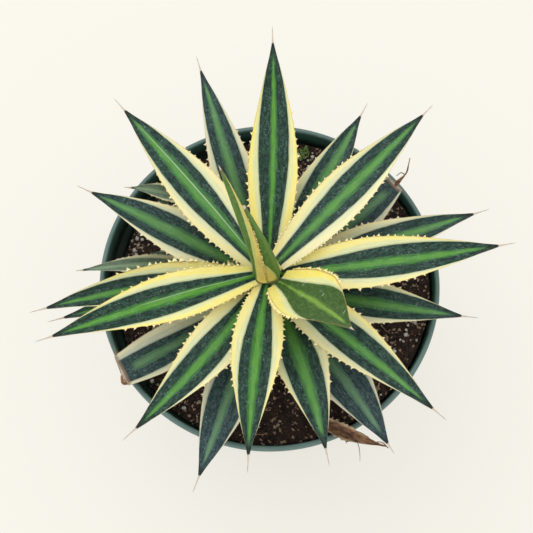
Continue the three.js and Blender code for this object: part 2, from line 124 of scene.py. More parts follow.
class Surface:
    """Points, faces and flat maps gathered for one mesh."""

    def __init__(self) -> None:
        """Start with nothing gathered."""
        self.points: list[np.ndarray] = []
        self.faces: list[list[int]] = []
        self.maps: dict[str, list[np.ndarray]] = {}
        self.count = 0

    def add(self, points: np.ndarray, faces: Sequence[Sequence[int]], **maps: np.ndarray) -> None:
        """Gather one more shell.

        Args:
            points: Its points, in metres.
            faces: Its faces, as indices into its own points.
            **maps: For each flat map, two numbers for each point.
        """
        self.points.append(np.asarray(points, float))
        self.faces.extend([i + self.count for i in face] for face in faces)
        for name, values in maps.items():
            self.maps.setdefault(name, []).append(np.asarray(values, float))
        self.count += len(points)

    def tube(self, rings: np.ndarray, tip: np.ndarray | None = None, **maps: np.ndarray) -> None:
        """Gather a closed tube: a row of rings with a flat start and a flat or pointed end.

        Args:
            rings: Rings of points, each turning the same way.
            tip: The end point, or None for a flat end.
            **maps: For each flat map, two numbers for each point of each ring, and then for the tip.
        """
        rows, columns = rings.shape[:2]
        points = rings.reshape(-1, 3)
        faces = [list(range(columns))[::-1]]
        for row in range(rows - 1):
            for column in range(columns):
                after = (column + 1) % columns
                low, high = row * columns, (row + 1) * columns
                faces.append([low + column, low + after, high + after, high + column])
        last = (rows - 1) * columns
        if tip is None:
            faces.append([last + column for column in range(columns)])
        else:
            points = np.vstack([points, tip])
            faces += [[last + c, last + (c + 1) % columns, rows * columns] for c in range(columns)]
        self.add(points, faces, **maps)

    def strap(self, line: np.ndarray, widths: np.ndarray, thickness: float, turns: float, seed: int) -> None:
        """Gather a thin strap along a line, such as a dried tip, a thread or a seedling's leaf.

        Args:
            line: Points along the middle of the strap.
            widths: Its width at each point.
            thickness: Its thickness.
            turns: How far it turns about its own line, in radians.
            seed: Seed of its place on the grain.
        """
        steps = max(12, len(line) * 4)
        knots = np.concatenate([[0], np.cumsum(np.linalg.norm(np.diff(line, axis=0), axis=1))])
        at = np.linspace(0, knots[-1], steps)
        middle = smooth_through(knots, line, at)
        wide = np.interp(at, knots, widths)
        ahead = unit(np.gradient(middle, axis=0))
        level = unit(np.cross(ahead, np.array([0.13, 0.21, 1.0])))
        upright = np.cross(level, ahead)
        turn = np.linspace(0, turns, steps)[:, None]
        across = level * np.cos(turn) + upright * np.sin(turn)
        normal = np.cross(across, ahead)
        corners = 8
        rings, blade, grain = [], [], []
        start = seed * 37.0
        for row in range(steps):
            angles = [math.tau * corner / corners for corner in range(corners)]
            flat = [across[row] * math.cos(a) * wide[row] / 2 for a in angles]
            thick = [normal[row] * math.sin(a) * min(thickness, wide[row]) / 2 for a in angles]
            rings.append([middle[row] + f + t for f, t in zip(flat, thick, strict=True)])
            blade += [[0.5 + 0.5 * math.cos(a), row / steps] for a in angles]
            grain += [[wide[row] * 500 * math.cos(a) + start, at[row] * 1000] for a in angles]
        blade.append([0.5, 1.0])
        grain.append([start, knots[-1] * 1000])
        tip = middle[-1] + ahead[-1] * wide[-1] * 0.5
        self.tube(np.array(rings), tip, blade=np.array(blade), grain=np.array(grain))

    def lump(self, middle: np.ndarray, sizes: np.ndarray, random: np.random.Generator, fine: bool) -> None:
        """Gather one uneven lump, such as a crumb, a chip or a grain.

        Args:
            middle: Its middle.
            sizes: Its half sizes along its own three axes.
            random: Random numbers for its shape and turn.
            fine: Whether it has the finer of two shapes.
        """
        points, faces = FINE_BALL if fine else COARSE_BALL
        uneven = points * random.uniform(0.74, 1.18, (len(points), 1))
        turn, _ = np.linalg.qr(random.normal(size=(3, 3)))
        turn[:, 0] *= np.sign(np.linalg.det(turn))
        flat = np.array([[1, 0, 0], [0, 1, 0], [0, 0, 1]]) if sizes[2] < sizes[0] * 0.5 else turn
        spin = random.uniform(0, math.tau)
        cos, sin = math.cos(spin), math.sin(spin)
        about = np.array([[cos, -sin, 0], [sin, cos, 0], [0, 0, 1]])
        self.add(middle + (uneven * sizes) @ flat.T @ about.T, faces)

    def make(self, name: str, crease: float = 50, weld: bool = False) -> bpy.types.Object:
        """Make the gathered shells into one mesh object.

        Args:
            name: Name of the object.
            crease: Angle in degrees above which an edge stays sharp.
            weld: Whether points that meet are joined and the faces turned outwards.

        Returns:
            The new object, linked into the scene.
        """
        mesh = bpy.data.meshes.new(name)
        points = np.vstack(self.points)
        mesh.from_pydata(points.tolist(), [], self.faces)
        corners = np.zeros(len(mesh.loops), int)
        mesh.loops.foreach_get("vertex_index", corners)
        for title, values in self.maps.items():
            layer = mesh.uv_layers.new(name=title)
            layer.data.foreach_set("uv", np.vstack(values)[corners].astype(np.float32).ravel())
        if weld:
            joined = bmesh.new()
            joined.from_mesh(mesh)
            bmesh.ops.remove_doubles(joined, verts=joined.verts, dist=2e-6)
            bmesh.ops.recalc_face_normals(joined, faces=joined.faces)
            joined.to_mesh(mesh)
            joined.free()
        mesh.polygons.foreach_set("use_smooth", np.ones(len(mesh.polygons), bool))
        mesh.set_sharp_from_angle(angle=math.radians(crease))
        mesh.validate()
        made = bpy.data.objects.new(name, mesh)
        bpy.context.scene.collection.objects.link(made)
        return made


def ball(rounds: int) -> tuple[np.ndarray, list[list[int]]]:
    """Give a ball of radius 1 made of triangles.

    Args:
        rounds: How many times each of the 20 starting triangles is cut into four.

    Returns:
        The points, and the faces as indices into them.
    """
    shape = bmesh.new()
    bmesh.ops.create_icosphere(shape, subdivisions=rounds + 1, radius=1)
    shape.verts.index_update()
    points = np.array([vertex.co for vertex in shape.verts])
    faces = [[vertex.index for vertex in face.verts] for face in shape.faces]
    shape.free()
    return points, faces


COARSE_BALL = ball(0)
FINE_BALL = ball(1)


class Ground:
    """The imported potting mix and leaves, asked for heights and for room."""

    over_all: float = 0.3

    def __init__(self) -> None:
        """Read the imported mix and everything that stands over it."""
        self.mix = self.tree(["potting_mix"])
        over = [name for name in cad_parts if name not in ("pot", "potting_mix")]
        self.over = self.tree(over)

    @staticmethod
    def tree(names: Sequence[str]) -> BVHTree:
        """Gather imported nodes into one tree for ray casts.

        Args:
            names: The nodes' names.

        Returns:
            The tree.
        """
        points: list[Vector] = []
        faces: list[tuple[int, ...]] = []
        for name in names:
            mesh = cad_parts[name].data
            start = len(points)
            points += [vertex.co.copy() for vertex in mesh.vertices]
            faces += [tuple(i + start for i in face.vertices) for face in mesh.polygons]
        return BVHTree.FromPolygons(points, faces)

    def height(self, x: float, y: float) -> float | None:
        """Give the height of the mix at a place.

        Args:
            x: The place's X.
            y: The place's Y.

        Returns:
            The height, or None outside the mix.
        """
        hit = self.mix.ray_cast(Vector((x, y, self.over_all)), Vector((0, 0, -1)))[0]
        return hit.z if hit else None

    def room(self, place: np.ndarray, need: float) -> bool:
        """Tell whether nothing stands within a distance of a place.

        Args:
            place: The place.
            need: The distance.

        Returns:
            Whether there is room.
        """
        return self.over.find_nearest(Vector(place), need)[0] is None


class Graph:
    """Short ways to add shader nodes to one tree."""

    def __init__(self, tree: bpy.types.NodeTree) -> None:
        """Keep the tree that nodes are added to.

        Args:
            tree: A material's tree or a group's tree.
        """
        self.tree = tree

    def add(self, kind: str, **settings: object) -> bpy.types.Node:
        """Add a node.

        Args:
            kind: The node's type, without the ShaderNode in front.
            **settings: Properties to set on the node.

        Returns:
            The new node.
        """
        node = self.tree.nodes.new("ShaderNode" + kind)
        for name, value in settings.items():
            setattr(node, name, value)
        return node

    def feed(self, target: Socket, value: object) -> None:
        """Link a socket into a target, or set a plain value on it.

        Args:
            target: The input that takes the value.
            value: An output socket, a number, a vector or a colour.
        """
        if isinstance(value, bpy.types.NodeSocket):
            self.tree.links.new(value, target)
        elif target.type == "RGBA":
            target.default_value = (*value, 1.0)
        else:
            target.default_value = value

    def math(self, operation: str, *values: object, clamp: bool = False) -> Socket:
        """Add a math node.

        Args:
            operation: The node's operation.
            *values: Its inputs, as sockets or numbers.
            clamp: Whether the result stays between 0 and 1.

        Returns:
            The result.
        """
        node = self.add("Math", operation=operation, use_clamp=clamp)
        for target, value in zip(node.inputs, values, strict=False):
            self.feed(target, value)
        return node.outputs[0]

    def step(self, value: object, low: object, high: object) -> Socket:
        """Rise smoothly from 0 to 1 as a value goes from low to high.

        Args:
            value: The value that is read.
            low: Where the result is 0.
            high: Where the result is 1. It may be below low, and the result then falls.

        Returns:
            A mask from 0 to 1.
        """
        node = self.add("MapRange", interpolation_type="SMOOTHSTEP", clamp=True)
        for name, given in (("Value", value), ("From Min", low), ("From Max", high)):
            self.feed(node.inputs[name], given)
        return node.outputs[0]

    def mix(self, mask: object, first: object, second: object) -> Socket:
        """Mix two colours by a mask.

        Args:
            mask: 0 gives the first colour and 1 the second.
            first: A colour or a socket.
            second: A colour or a socket.

        Returns:
            The mixed colour.
        """
        node = self.add("Mix", data_type="RGBA")
        self.feed(node.inputs[0], mask)
        self.feed(node.inputs[6], first)
        self.feed(node.inputs[7], second)
        return node.outputs[2]

    def stretch(self, vector: Socket, scale: Sequence[float]) -> Socket:
        """Scale a coordinate by a different number along each axis.

        Args:
            vector: The coordinate.
            scale: Three factors.

        Returns:
            The scaled coordinate.
        """
        node = self.add("Mapping")
        self.feed(node.inputs["Vector"], vector)
        node.inputs["Scale"].default_value = scale
        return node.outputs[0]

    def noise(self, vector: Socket, scale: float, detail: float = 3, rough: float = 0.55) -> Socket:
        """Add a soft noise.

        Args:
            vector: Coordinate that the noise is read at.
            scale: Cells for each unit of the coordinate.
            detail: Number of finer layers.
            rough: Strength of the finer layers.

        Returns:
            The noise, from about 0.2 to 0.8.
        """
        node = self.add("TexNoise")
        self.feed(node.inputs["Vector"], vector)
        node.inputs["Scale"].default_value = scale
        node.inputs["Detail"].default_value = detail
        node.inputs["Roughness"].default_value = rough
        return node.outputs[0]

    def cells(self, vector: Socket, scale: float) -> tuple[Socket, Socket]:
        """Add a cell pattern.

        Args:
            vector: Coordinate that the cells are read at.
            scale: Cells for each unit of the coordinate.

        Returns:
            The distance to the cell's middle, and the cell's own random colour.
        """
        node = self.add("TexVoronoi", feature="F1")
        self.feed(node.inputs["Vector"], vector)
        node.inputs["Scale"].default_value = scale
        return node.outputs["Distance"], node.outputs["Color"]

    def flat_map(self, name: str) -> Socket:
        """Read one of the mesh's flat maps.

        Args:
            name: The map's name.

        Returns:
            The coordinate on that map.
        """
        return self.add("UVMap", uv_map=name).outputs[0]

    def place(self) -> Socket:
        """Read the point's own place on the object, in metres."""
        return self.add("TexCoord").outputs["Object"]

    def split(self, vector: Socket) -> tuple[Socket, Socket, Socket]:
        """Split a coordinate into its three numbers.

        Args:
            vector: The coordinate.

        Returns:
            Its X, Y and Z.
        """
        node = self.add("SeparateXYZ")
        self.feed(node.inputs[0], vector)
        return node.outputs[0], node.outputs[1], node.outputs[2]

    def use(self, group: bpy.types.NodeTree, **values: object) -> bpy.types.Node:
        """Place a shared effect in this tree.

        Args:
            group: The shared effect's tree.
            **values: Its inputs by name, with _ for a space.

        Returns:
            The placed group.
        """
        node = self.add("Group")
        node.node_tree = group
        for name, value in values.items():
            self.feed(node.inputs[name.replace("_", " ")], value)
        return node


class Effect:
    """A shared shader effect, built once as a node group with named sockets."""

    title = ""
    inputs: dict[str, str] = {}
    outputs: dict[str, str] = {}

    @classmethod
    def tree(cls) -> bpy.types.NodeTree:
        """Give the effect's node group, and build it the first time.

        Returns:
            The node group.
        """
        found = bpy.data.node_groups.get(cls.title)
        if found:
            return found
        made = bpy.data.node_groups.new(cls.title, "ShaderNodeTree")
        for name, kind in cls.inputs.items():
            made.interface.new_socket(name, in_out="INPUT", socket_type="NodeSocket" + kind)
        for name, kind in cls.outputs.items():
            made.interface.new_socket(name, in_out="OUTPUT", socket_type="NodeSocket" + kind)
        start = made.nodes.new("NodeGroupInput")
        end = made.nodes.new("NodeGroupOutput")
        results = cls.wire(Graph(made), start.outputs)
        for name, result in results.items():
            made.links.new(result, end.inputs[name])
        return made

    @classmethod
    def wire(cls, graph: Graph, given: object) -> dict[str, Socket]:
        """Wire the effect's nodes.

        Args:
            graph: The group's graph.
            given: The group's input sockets by name.

        Returns:
            For each output's name, the socket that feeds it.
        """
        raise NotImplementedError


class Striation(Effect):
    """Fine fibres that run along a blade, with soft mottling and a speckled pale bloom over them."""

    title = "Striation"
    inputs = {"Grain": "Vector"}
    outputs = {"Fibres": "Float", "Mottle": "Float", "Bloom": "Float", "Height": "Float"}

    @classmethod
    def wire(cls, graph: Graph, given: object) -> dict[str, Socket]:
        """Wire long thin noise for the fibres, round noise for the mottling and fine noise for the bloom.

        Args:
            graph: The group's graph.
            given: The group's input sockets by name.

        Returns:
            For each output's name, the socket that feeds it.
        """
        grain = given["Grain"]
        fibres = graph.noise(graph.stretch(grain, (1.6, 0.06, 1)), 1.0, 4, 0.6)
        broad = graph.noise(graph.stretch(grain, (0.5, 0.12, 1)), 1.0, 2)
        patches = graph.noise(graph.stretch(grain, (0.9, 0.35, 1)), 0.7, 4, 0.65)
        speckle = graph.noise(graph.stretch(grain, (1, 0.6, 1)), 1.0, 5, 0.78)
        clouds = graph.noise(graph.stretch(grain, (1, 0.5, 1)), 0.2, 2)
        bloom = graph.math("MULTIPLY", graph.step(speckle, 0.5, 0.66), graph.step(clouds, 0.38, 0.64))
        joined = graph.math("MULTIPLY_ADD", broad, 0.5, graph.math("MULTIPLY", fibres, 0.5))
        height = graph.math("MULTIPLY_ADD", patches, 0.4, graph.math("MULTIPLY", fibres, 0.6))
        return {"Fibres": joined, "Mottle": patches, "Bloom": bloom, "Height": height}


class Scuffs(Effect):
    """Small pale flecks and short scratches."""

    title = "Scuffs"
    inputs = {"Grain": "Vector", "Amount": "Float", "Nicks": "Float"}
    outputs = {"Mask": "Float"}

    @classmethod
    def wire(cls, graph: Graph, given: object) -> dict[str, Socket]:
        """Wire cells that show as flecks only here and there, and short scratches across the blade.

        Args:
            graph: The group's graph.
            given: The group's input sockets by name.

        Returns:
            For each output's name, the socket that feeds it.
        """
        grain = given["Grain"]
        distance, own = graph.cells(graph.stretch(grain, (1, 0.6, 1)), 0.8)
        lucky, size, _ = graph.split(own)
        chosen = graph.math("LESS_THAN", lucky, graph.math("MULTIPLY", given["Amount"], 0.09))
        dot = graph.step(distance, graph.math("MULTIPLY_ADD", size, 0.2, 0.08), 0.03)
        leaning = graph.add("Mapping")
        graph.feed(leaning.inputs["Vector"], grain)
        leaning.inputs["Rotation"].default_value = (0, 0, 0.6)
        leaning.inputs["Scale"].default_value = (0.22, 1.1, 1)
        gap, luck = graph.cells(leaning.outputs[0], 0.8)
        picked, _, _ = graph.split(luck)
        rare = graph.math("LESS_THAN", picked, given["Nicks"])
        nick = graph.math("MULTIPLY", rare, graph.step(gap, 0.3, 0.12))
        spots = graph.math("MULTIPLY", graph.math("MULTIPLY", chosen, dot), 0.7)
        return {"Mask": graph.math("MAXIMUM", spots, nick)}


class Stripes(Effect):
    """Masks for the long stripes of a variegated blade, and for the painted highlight down its middle
    stripe.
    """

    title = "Blade stripes"
    inputs = {
        "Blade": "Vector",
        "Fibres": "Float",
        "Left": "Float",
        "Right": "Float",
        "Mid": "Float",
        "Reach": "Float",
        "Rim": "Float",
    }
    outputs = {
        "Middle": "Float",
        "Core": "Float",
        "Green": "Float",
        "Seam": "Float",
        "Strip": "Float",
        "Edge": "Float",
    }

    @classmethod
    def wire(cls, graph: Graph, given: object) -> dict[str, Socket]:
        """Wire the places of the stripes from the position across and along the blade.

        Args:
            graph: The group's graph.
            given: The group's input sockets by name.

        Returns:
            For each output's name, the socket that feeds it.
        """
        across, along, _ = graph.split(given["Blade"])
        side = graph.math("MULTIPLY_ADD", across, 2.0, -1.0)
        out = graph.math("ABSOLUTE", side)
        is_right = graph.math("GREATER_THAN", side, 0.0)
        gained = graph.math("SUBTRACT", given["Right"], given["Left"])
        extra = graph.math("MULTIPLY_ADD", is_right, gained, given["Left"])
        share = graph.math("DIVIDE", along, given["Reach"], clamp=True)
        wobble = graph.math("MULTIPLY_ADD", given["Fibres"], 0.12, -0.06)
        swell = graph.math("POWER", share, 1.7)
        room = graph.math("SUBTRACT", 1.06, extra)
        band = graph.math("ADD", graph.math("MULTIPLY_ADD", swell, room, extra), wobble)
        green = graph.step(out, graph.math("ADD", band, 0.03), graph.math("SUBTRACT", band, 0.03))
        from_band = graph.math("SUBTRACT", out, band)
        seam = graph.step(graph.math("ABSOLUTE", graph.math("SUBTRACT", from_band, 0.03)), 0.045, 0.0)
        pale = graph.math("MULTIPLY_ADD", graph.step(along, 0.05, 0.45), 0.36, 0.16)
        strip_out = graph.math("MULTIPLY", graph.math("SUBTRACT", 1.0, band), pale)
        strip = graph.step(graph.math("SUBTRACT", from_band, strip_out), 0.06, -0.06)
        half = graph.math("MULTIPLY_ADD", along, 0.09, given["Mid"])
        ragged = graph.math("MULTIPLY_ADD", given["Fibres"], 0.3, -0.15)
        near = graph.math("ADD", out, ragged)
        middle_out = graph.math("MULTIPLY_ADD", half, 1.3, 0.03)
        middle_in = graph.math("MULTIPLY_ADD", half, 1.2, -0.04)
        middle = graph.step(near, middle_out, middle_in)
        # Painted highlight: a narrow brighter band down the centre of the middle stripe.
        core = graph.step(near, graph.math("MULTIPLY", half, 0.95), graph.math("MULTIPLY", half, 0.3))
        fading = graph.step(graph.math("SUBTRACT", along, graph.math("MULTIPLY", ragged, 0.5)), 0.96, 0.88)
        rim = graph.math("MULTIPLY", given["Rim"], graph.math("MULTIPLY_ADD", along, 2.0, 1.0))
        thin = graph.math("SUBTRACT", 1.0, rim)
        edge = graph.step(out, thin, graph.math("ADD", thin, 0.012))
        return {
            "Middle": graph.math("MULTIPLY", middle, fading),
            "Core": graph.math("MULTIPLY", core, fading),
            "Green": green,
            "Seam": seam,
            "Strip": strip,
            "Edge": edge,
        }


class Crumble(Effect):
    """Uneven crumbs of earth, bark or stone, with their light and dark sides."""

    title = "Crumble"
    inputs = {"Place": "Vector", "Size": "Float"}
    outputs = {"Own": "Float", "Shade": "Float", "Height": "Float"}

    @classmethod
    def wire(cls, graph: Graph, given: object) -> dict[str, Socket]:
        """Wire two sizes of cells and a fine noise.

        Args:
            graph: The group's graph.
            given: The group's input sockets by name.

        Returns:
            For each output's name, the socket that feeds it.
        """
        node = graph.add("VectorMath", operation="SCALE")
        graph.feed(node.inputs[0], given["Place"])
        graph.feed(node.inputs["Scale"], given["Size"])
        place = node.outputs[0]
        coarse, own = graph.cells(place, 1.0)
        fine, _ = graph.cells(place, 2.7)
        grit = graph.noise(place, 1.9, 5, 0.7)
        lucky, _, _ = graph.split(own)
        depth = graph.math("MULTIPLY_ADD", coarse, 0.6, graph.math("MULTIPLY", fine, 0.4))
        height = graph.math("SUBTRACT", grit, depth)
        return {"Own": lucky, "Shade": grit, "Height": height}


@dataclass(frozen=True)
class Finish:
    """What every finish has: a name, the slot it belongs to, and how rough it is."""

    name: str
    slot: str
    roughness: float = 0.5

    def material(self) -> bpy.types.Material:
        """Make the material, or give it if it is made.

        Returns:
            The finish's material.
        """
        found = bpy.data.materials.get(self.name)
        if found:
            return found
        made = bpy.data.materials.new(self.name)
        made.use_nodes = True
        graph = Graph(made.node_tree)
        shader = made.node_tree.nodes["Principled BSDF"]
        shader.inputs["Roughness"].default_value = self.roughness
        self.wire(graph, shader)
        return made

    def wire(self, graph: Graph, shader: bpy.types.Node) -> None:
        """Wire the finish's own nodes into its shader.

        Args:
            graph: The material's graph.
            shader: Its Principled BSDF.
        """
        raise NotImplementedError

    def bump(
        self, graph: Graph, shader: bpy.types.Node, height: Socket, depth: float, strength: float
    ) -> None:
        """Feed a height into the shader's normal.

        Args:
            graph: The material's graph.
            shader: Its Principled BSDF.
            height: The height, from about 0 to 1.
            depth: The height of 1, in metres.
            strength: The strength of the bump.
        """
        node = graph.add("Bump")
        node.inputs["Strength"].default_value = strength
        node.inputs["Distance"].default_value = depth
        graph.feed(node.inputs["Height"], height)
        graph.feed(shader.inputs["Normal"], node.outputs[0])

    def dress(self, piece: bpy.types.Object) -> bpy.types.Object:
        """Put the finish on a piece.

        Args:
            piece: The object to dress.

        Returns:
            The same object.
        """
        piece.data.materials.clear()
        piece.data.materials.append(self.material())
        return piece


@dataclass(frozen=True)
class BladeFinish(Finish):
    """Skin of a striped leaf: green bands, a lighter middle stripe with a painted highlight down its centre,
    pale strips and yellow margins.
    """

    band: Colour = shade(44, 78, 64)
    deep: Colour = shade(24, 52, 44)
    bloom: Colour = shade(118, 146, 140)
    middle: Colour = shade(60, 112, 62)
    core: Colour = shade(106, 158, 72)
    strip: Colour = shade(184, 200, 152)
    seam: Colour = shade(122, 150, 128)
    margin: Colour = shade(244, 230, 122)
    margin_soft: Colour = shade(240, 234, 168)
    cream: Colour = shade(244, 240, 206)
    edge: Colour = shade(176, 136, 96)
    tooth: Colour = shade(206, 156, 104)
    tip: Colour = shade(20, 30, 26)
    spine_foot: Colour = shade(208, 194, 178)
    spine_end: Colour = shade(120, 90, 70)
    left: float = 0.4
    right: float = 0.4
    mid: float = 0.13
    reach: float = 1.0
    rim: float = 0.015
    cream_left: float = 0.0
    cream_right: float = 0.0
    scuffs: float = 0.3
    nicks: float = 0.0
    hazy: float = 0.5
    shine: float = 0.22
    tip_from: float = 0.93
    line: float = 0.0
    line_across: float = 0.5
    line_end: float = 0.9

    def wire(self, graph: Graph, shader: bpy.types.Node) -> None:
        """Wire the stripes over each other, from the bands out to the teeth and the spine.

        Args:
            graph: The material's graph.
            shader: Its Principled BSDF.
        """
        blade = graph.flat_map("blade")
        grain = graph.flat_map("grain")
        fine = graph.use(Striation.tree(), Grain=grain)
        stripes = graph.use(
            Stripes.tree(),
            Blade=blade,
            Fibres=fine.outputs["Fibres"],
            Left=self.left,
            Right=self.right,
            Mid=self.mid,
            Reach=self.reach,
            Rim=self.rim,
        )
        across, along, _ = graph.split(blade)
        out = graph.math("ABSOLUTE", graph.math("MULTIPLY_ADD", across, 2.0, -1.0))
        fibres = graph.step(fine.outputs["Fibres"], 0.38, 0.62)
        colour = self.green(graph, stripes, fine, fibres, across, along)
        pale = self.pale(graph, stripes, fibres, across)
        colour = graph.mix(stripes.outputs["Green"], pale, colour)
        colour = graph.mix(graph.math("MULTIPLY", stripes.outputs["Seam"], 0.4), colour, self.seam)
        marks = graph.use(Scuffs.tree(), Grain=grain, Amount=self.scuffs, Nicks=self.nicks)
        colour = graph.mix(graph.math("MULTIPLY", marks.outputs["Mask"], 0.7), colour, shade(222, 226, 216))
        dark_end = graph.step(along, self.tip_from, self.tip_from * 0.25 + 0.75)
        colour = graph.mix(graph.math("MULTIPLY", dark_end, 0.75), colour, self.tip)
        dry = graph.math("MULTIPLY_ADD", fibres, 0.5, 0.35)
        colour = graph.mix(graph.math("MULTIPLY", stripes.outputs["Edge"], dry), colour, self.edge)
        tooth_foot = between(self.margin_soft, (1, 1, 1), 0.12)
        colour = graph.mix(graph.step(out, 1.0, 1.02), colour, tooth_foot)
        colour = graph.mix(graph.step(out, 1.035, 1.1), colour, self.tooth)
        far = graph.mix(graph.step(along, 1.045, 1.085), self.spine_foot, self.spine_end)
        colour = graph.mix(graph.step(along, 0.992, 1.0), colour, far)
        graph.feed(shader.inputs["Base Color"], colour)
        wax = graph.math("MULTIPLY_ADD", fine.outputs["Mottle"], 0.22, self.roughness - 0.11)
        graph.feed(shader.inputs["Roughness"], wax)
        shader.inputs["Specular IOR Level"].default_value = self.shine
        self.bump(graph, shader, fine.outputs["Height"], 0.0012, 0.45)

    def green(
        self,
        graph: Graph,
        stripes: bpy.types.Node,
        fine: bpy.types.Node,
        fibres: Socket,
        across: Socket,
        along: Socket,
    ) -> Socket:
        """Wire the green inside of the blade.

        Args:
            graph: The material's graph.
            stripes: The placed stripes.
            fine: The placed striation.
            fibres: The fibres as a mask.
            across: Position across the blade.
            along: Position along the blade.

        Returns:
            The colour.
        """
        mottle = graph.step(fine.outputs["Mottle"], 0.4, 0.62)
        bands = graph.mix(graph.math("MULTIPLY_ADD", mottle, 0.75, 0.08), self.deep, self.band)
        dim_middle = between(self.middle, self.band, 0.6)
        dim_highlight = between(self.core, self.middle, 0.6)
        soft = graph.mix(graph.math("MULTIPLY", fibres, 0.5), self.middle, dim_middle)
        # The centre of the middle stripe gets the painted highlight colour.
        lit = graph.mix(graph.math("MULTIPLY", fibres, 0.4), self.core, dim_highlight)
        colour = graph.mix(graph.math("MULTIPLY", stripes.outputs["Middle"], 0.9), bands, soft)
        colour = graph.mix(graph.math("MULTIPLY", stripes.outputs["Core"], 0.65), colour, lit)
        colour = graph.mix(graph.math("MULTIPLY", fine.outputs["Bloom"], self.hazy), colour, self.bloom)
        if not self.line:
            return colour
        off = graph.math("ABSOLUTE", graph.math("SUBTRACT", across, self.line_across))
        thread = graph.math("MULTIPLY", graph.step(off, 0.014, 0.004), self.line)
        ends = graph.math("MULTIPLY", graph.step(along, self.line_end, self.line_end - 0.12), thread)
        return graph.mix(ends, colour, shade(206, 220, 198))

    def pale(self, graph: Graph, stripes: bpy.types.Node, fibres: Socket, across: Socket) -> Socket:
        """Wire the pale margins.

        Args:
            graph: The material's graph.
            stripes: The placed stripes.
            fibres: The fibres as a mask.
            across: Position across the blade.

        Returns:
            The colour.
        """
        yellow = graph.mix(graph.math("MULTIPLY", fibres, 0.8), self.margin, self.margin_soft)
        is_right = graph.math("GREATER_THAN", across, 0.5)
        gained = self.cream_right - self.cream_left
        creamy = graph.math("MULTIPLY_ADD", is_right, gained, self.cream_left)
        yellow = graph.mix(creamy, yellow, self.cream)
        strip = graph.mix(graph.math("MULTIPLY", fibres, 0.6), self.strip, self.margin_soft)
        strip = graph.mix(graph.math("MULTIPLY", creamy, 0.6), strip, self.cream)
        return graph.mix(stripes.outputs["Strip"], yellow, strip)


@dataclass(frozen=True)
class SpearFinish(BladeFinish):
    """Skin of the rolled young leaves, plain green outside with a yellow, toothed margin."""

    band: Colour = shade(100, 134, 66)
    deep: Colour = shade(76, 112, 50)
    middle: Colour = shade(94, 128, 64)
    core: Colour = shade(104, 140, 72)
    strip: Colour = shade(196, 204, 120)
    seam: Colour = shade(196, 208, 150)
    margin: Colour = shade(226, 206, 112)
    margin_soft: Colour = shade(206, 190, 112)
    edge: Colour = shade(170, 116, 60)
    tooth: Colour = shade(172, 92, 34)
    tip: Colour = shade(120, 112, 60)
    scuffs: float = 0.1
    hazy: float = 0.1


@dataclass(frozen=True)
class PlasticFinish(Finish):
    """Moulded green nursery plastic, paler on the lip from dust and a painted reflection of the sky, and
    scuffed outside.
    """

    body: Colour = shade(26, 76, 66)
    # Pale colour: random fading on the body, and dust with a painted reflection of the sky on the lip top.
    faded_and_sheen: Colour = shade(104, 130, 126)
    # Near-black green, painted as the shade inside the pot.
    inside: Colour = shade(12, 34, 27)
    lip_height: float = 0.1595
    lip_radius: float = 0.1046

    def wire(self, graph: Graph, shader: bpy.types.Node) -> None:
        """Wire the body colour, the paler lip with its dust and painted sky reflection, and the painted
        shade inside, by place.

        Args:
            graph: The material's graph.
            shader: Its Principled BSDF.
        """
        place = graph.place()
        x, y, z = graph.split(place)
        squares = graph.math("MULTIPLY_ADD", x, x, graph.math("MULTIPLY", y, y))
        reach = graph.math("SQRT", squares)
        cloud = graph.noise(place, 60, 4, 0.6)
        fine = graph.noise(place, 900, 3, 0.6)
        top = graph.step(z, self.lip_height - 0.0025, self.lip_height)
        # Paler lip top: partly dust, partly a painted reflection of the sky on the lip.
        lip_dust_and_sheen = graph.math("MULTIPLY", top, graph.math("MULTIPLY_ADD", cloud, 0.7, 0.35), clamp=True)
        colour = graph.mix(graph.math("MULTIPLY", cloud, 0.25), self.body, self.faded_and_sheen)
        colour = graph.mix(lip_dust_and_sheen, colour, self.faded_and_sheen)
        worn = graph.stretch(place, (90, 90, 300))
        marks = graph.use(Scuffs.tree(), Grain=worn, Amount=1.2, Nicks=0.02)
        colour = graph.mix(graph.math("MULTIPLY", marks.outputs["Mask"], 0.25), colour, shade(150, 172, 168))
        # Painted shade: inside the lip radius and below the lip, the wall and floor are painted near-black
        # green. The tapering outer wall below the band lies inside this radius and is painted too.
        inner = graph.step(reach, self.lip_radius - 0.0002, self.lip_radius - 0.0012)
        below = graph.step(z, self.lip_height - 0.0012, self.lip_height - 0.003)
        colour = graph.mix(graph.math("MULTIPLY", inner, below), colour, self.inside)
        graph.feed(shader.inputs["Base Color"], colour)
        rough = graph.math("MULTIPLY_ADD", cloud, 0.25, self.roughness - 0.12)
        graph.feed(shader.inputs["Roughness"], rough)
        self.bump(graph, shader, fine, 0.0002, 0.25)


@dataclass(frozen=True)
class CrumbFinish(Finish):
    """Loose stuff made of crumbs: potting mix, bark bits or mineral grains."""

    dark: Colour = shade(30, 20, 16)
    light: Colour = shade(98, 70, 56)
    fleck: Colour = shade(190, 164, 140)
    flecks: float = 0.1
    size: float = 620
    relief: float = 0.0012

    def wire(self, graph: Graph, shader: bpy.types.Node) -> None:
        """Wire each crumb's own tone, a few pale crumbs and their relief.

        Args:
            graph: The material's graph.
            shader: Its Principled BSDF.
        """
        crumbs = graph.use(Crumble.tree(), Place=graph.place(), Size=self.size)
        own = crumbs.outputs["Own"]
        tone = graph.math("MULTIPLY", graph.step(crumbs.outputs["Shade"], 0.3, 0.75), own)
        colour = graph.mix(tone, self.dark, self.light)
        pale = graph.math("GREATER_THAN", own, 1 - self.flecks)
        colour = graph.mix(graph.math("MULTIPLY", pale, 0.8), colour, self.fleck)
        graph.feed(shader.inputs["Base Color"], colour)
        self.bump(graph, shader, crumbs.outputs["Height"], self.relief, 0.8)


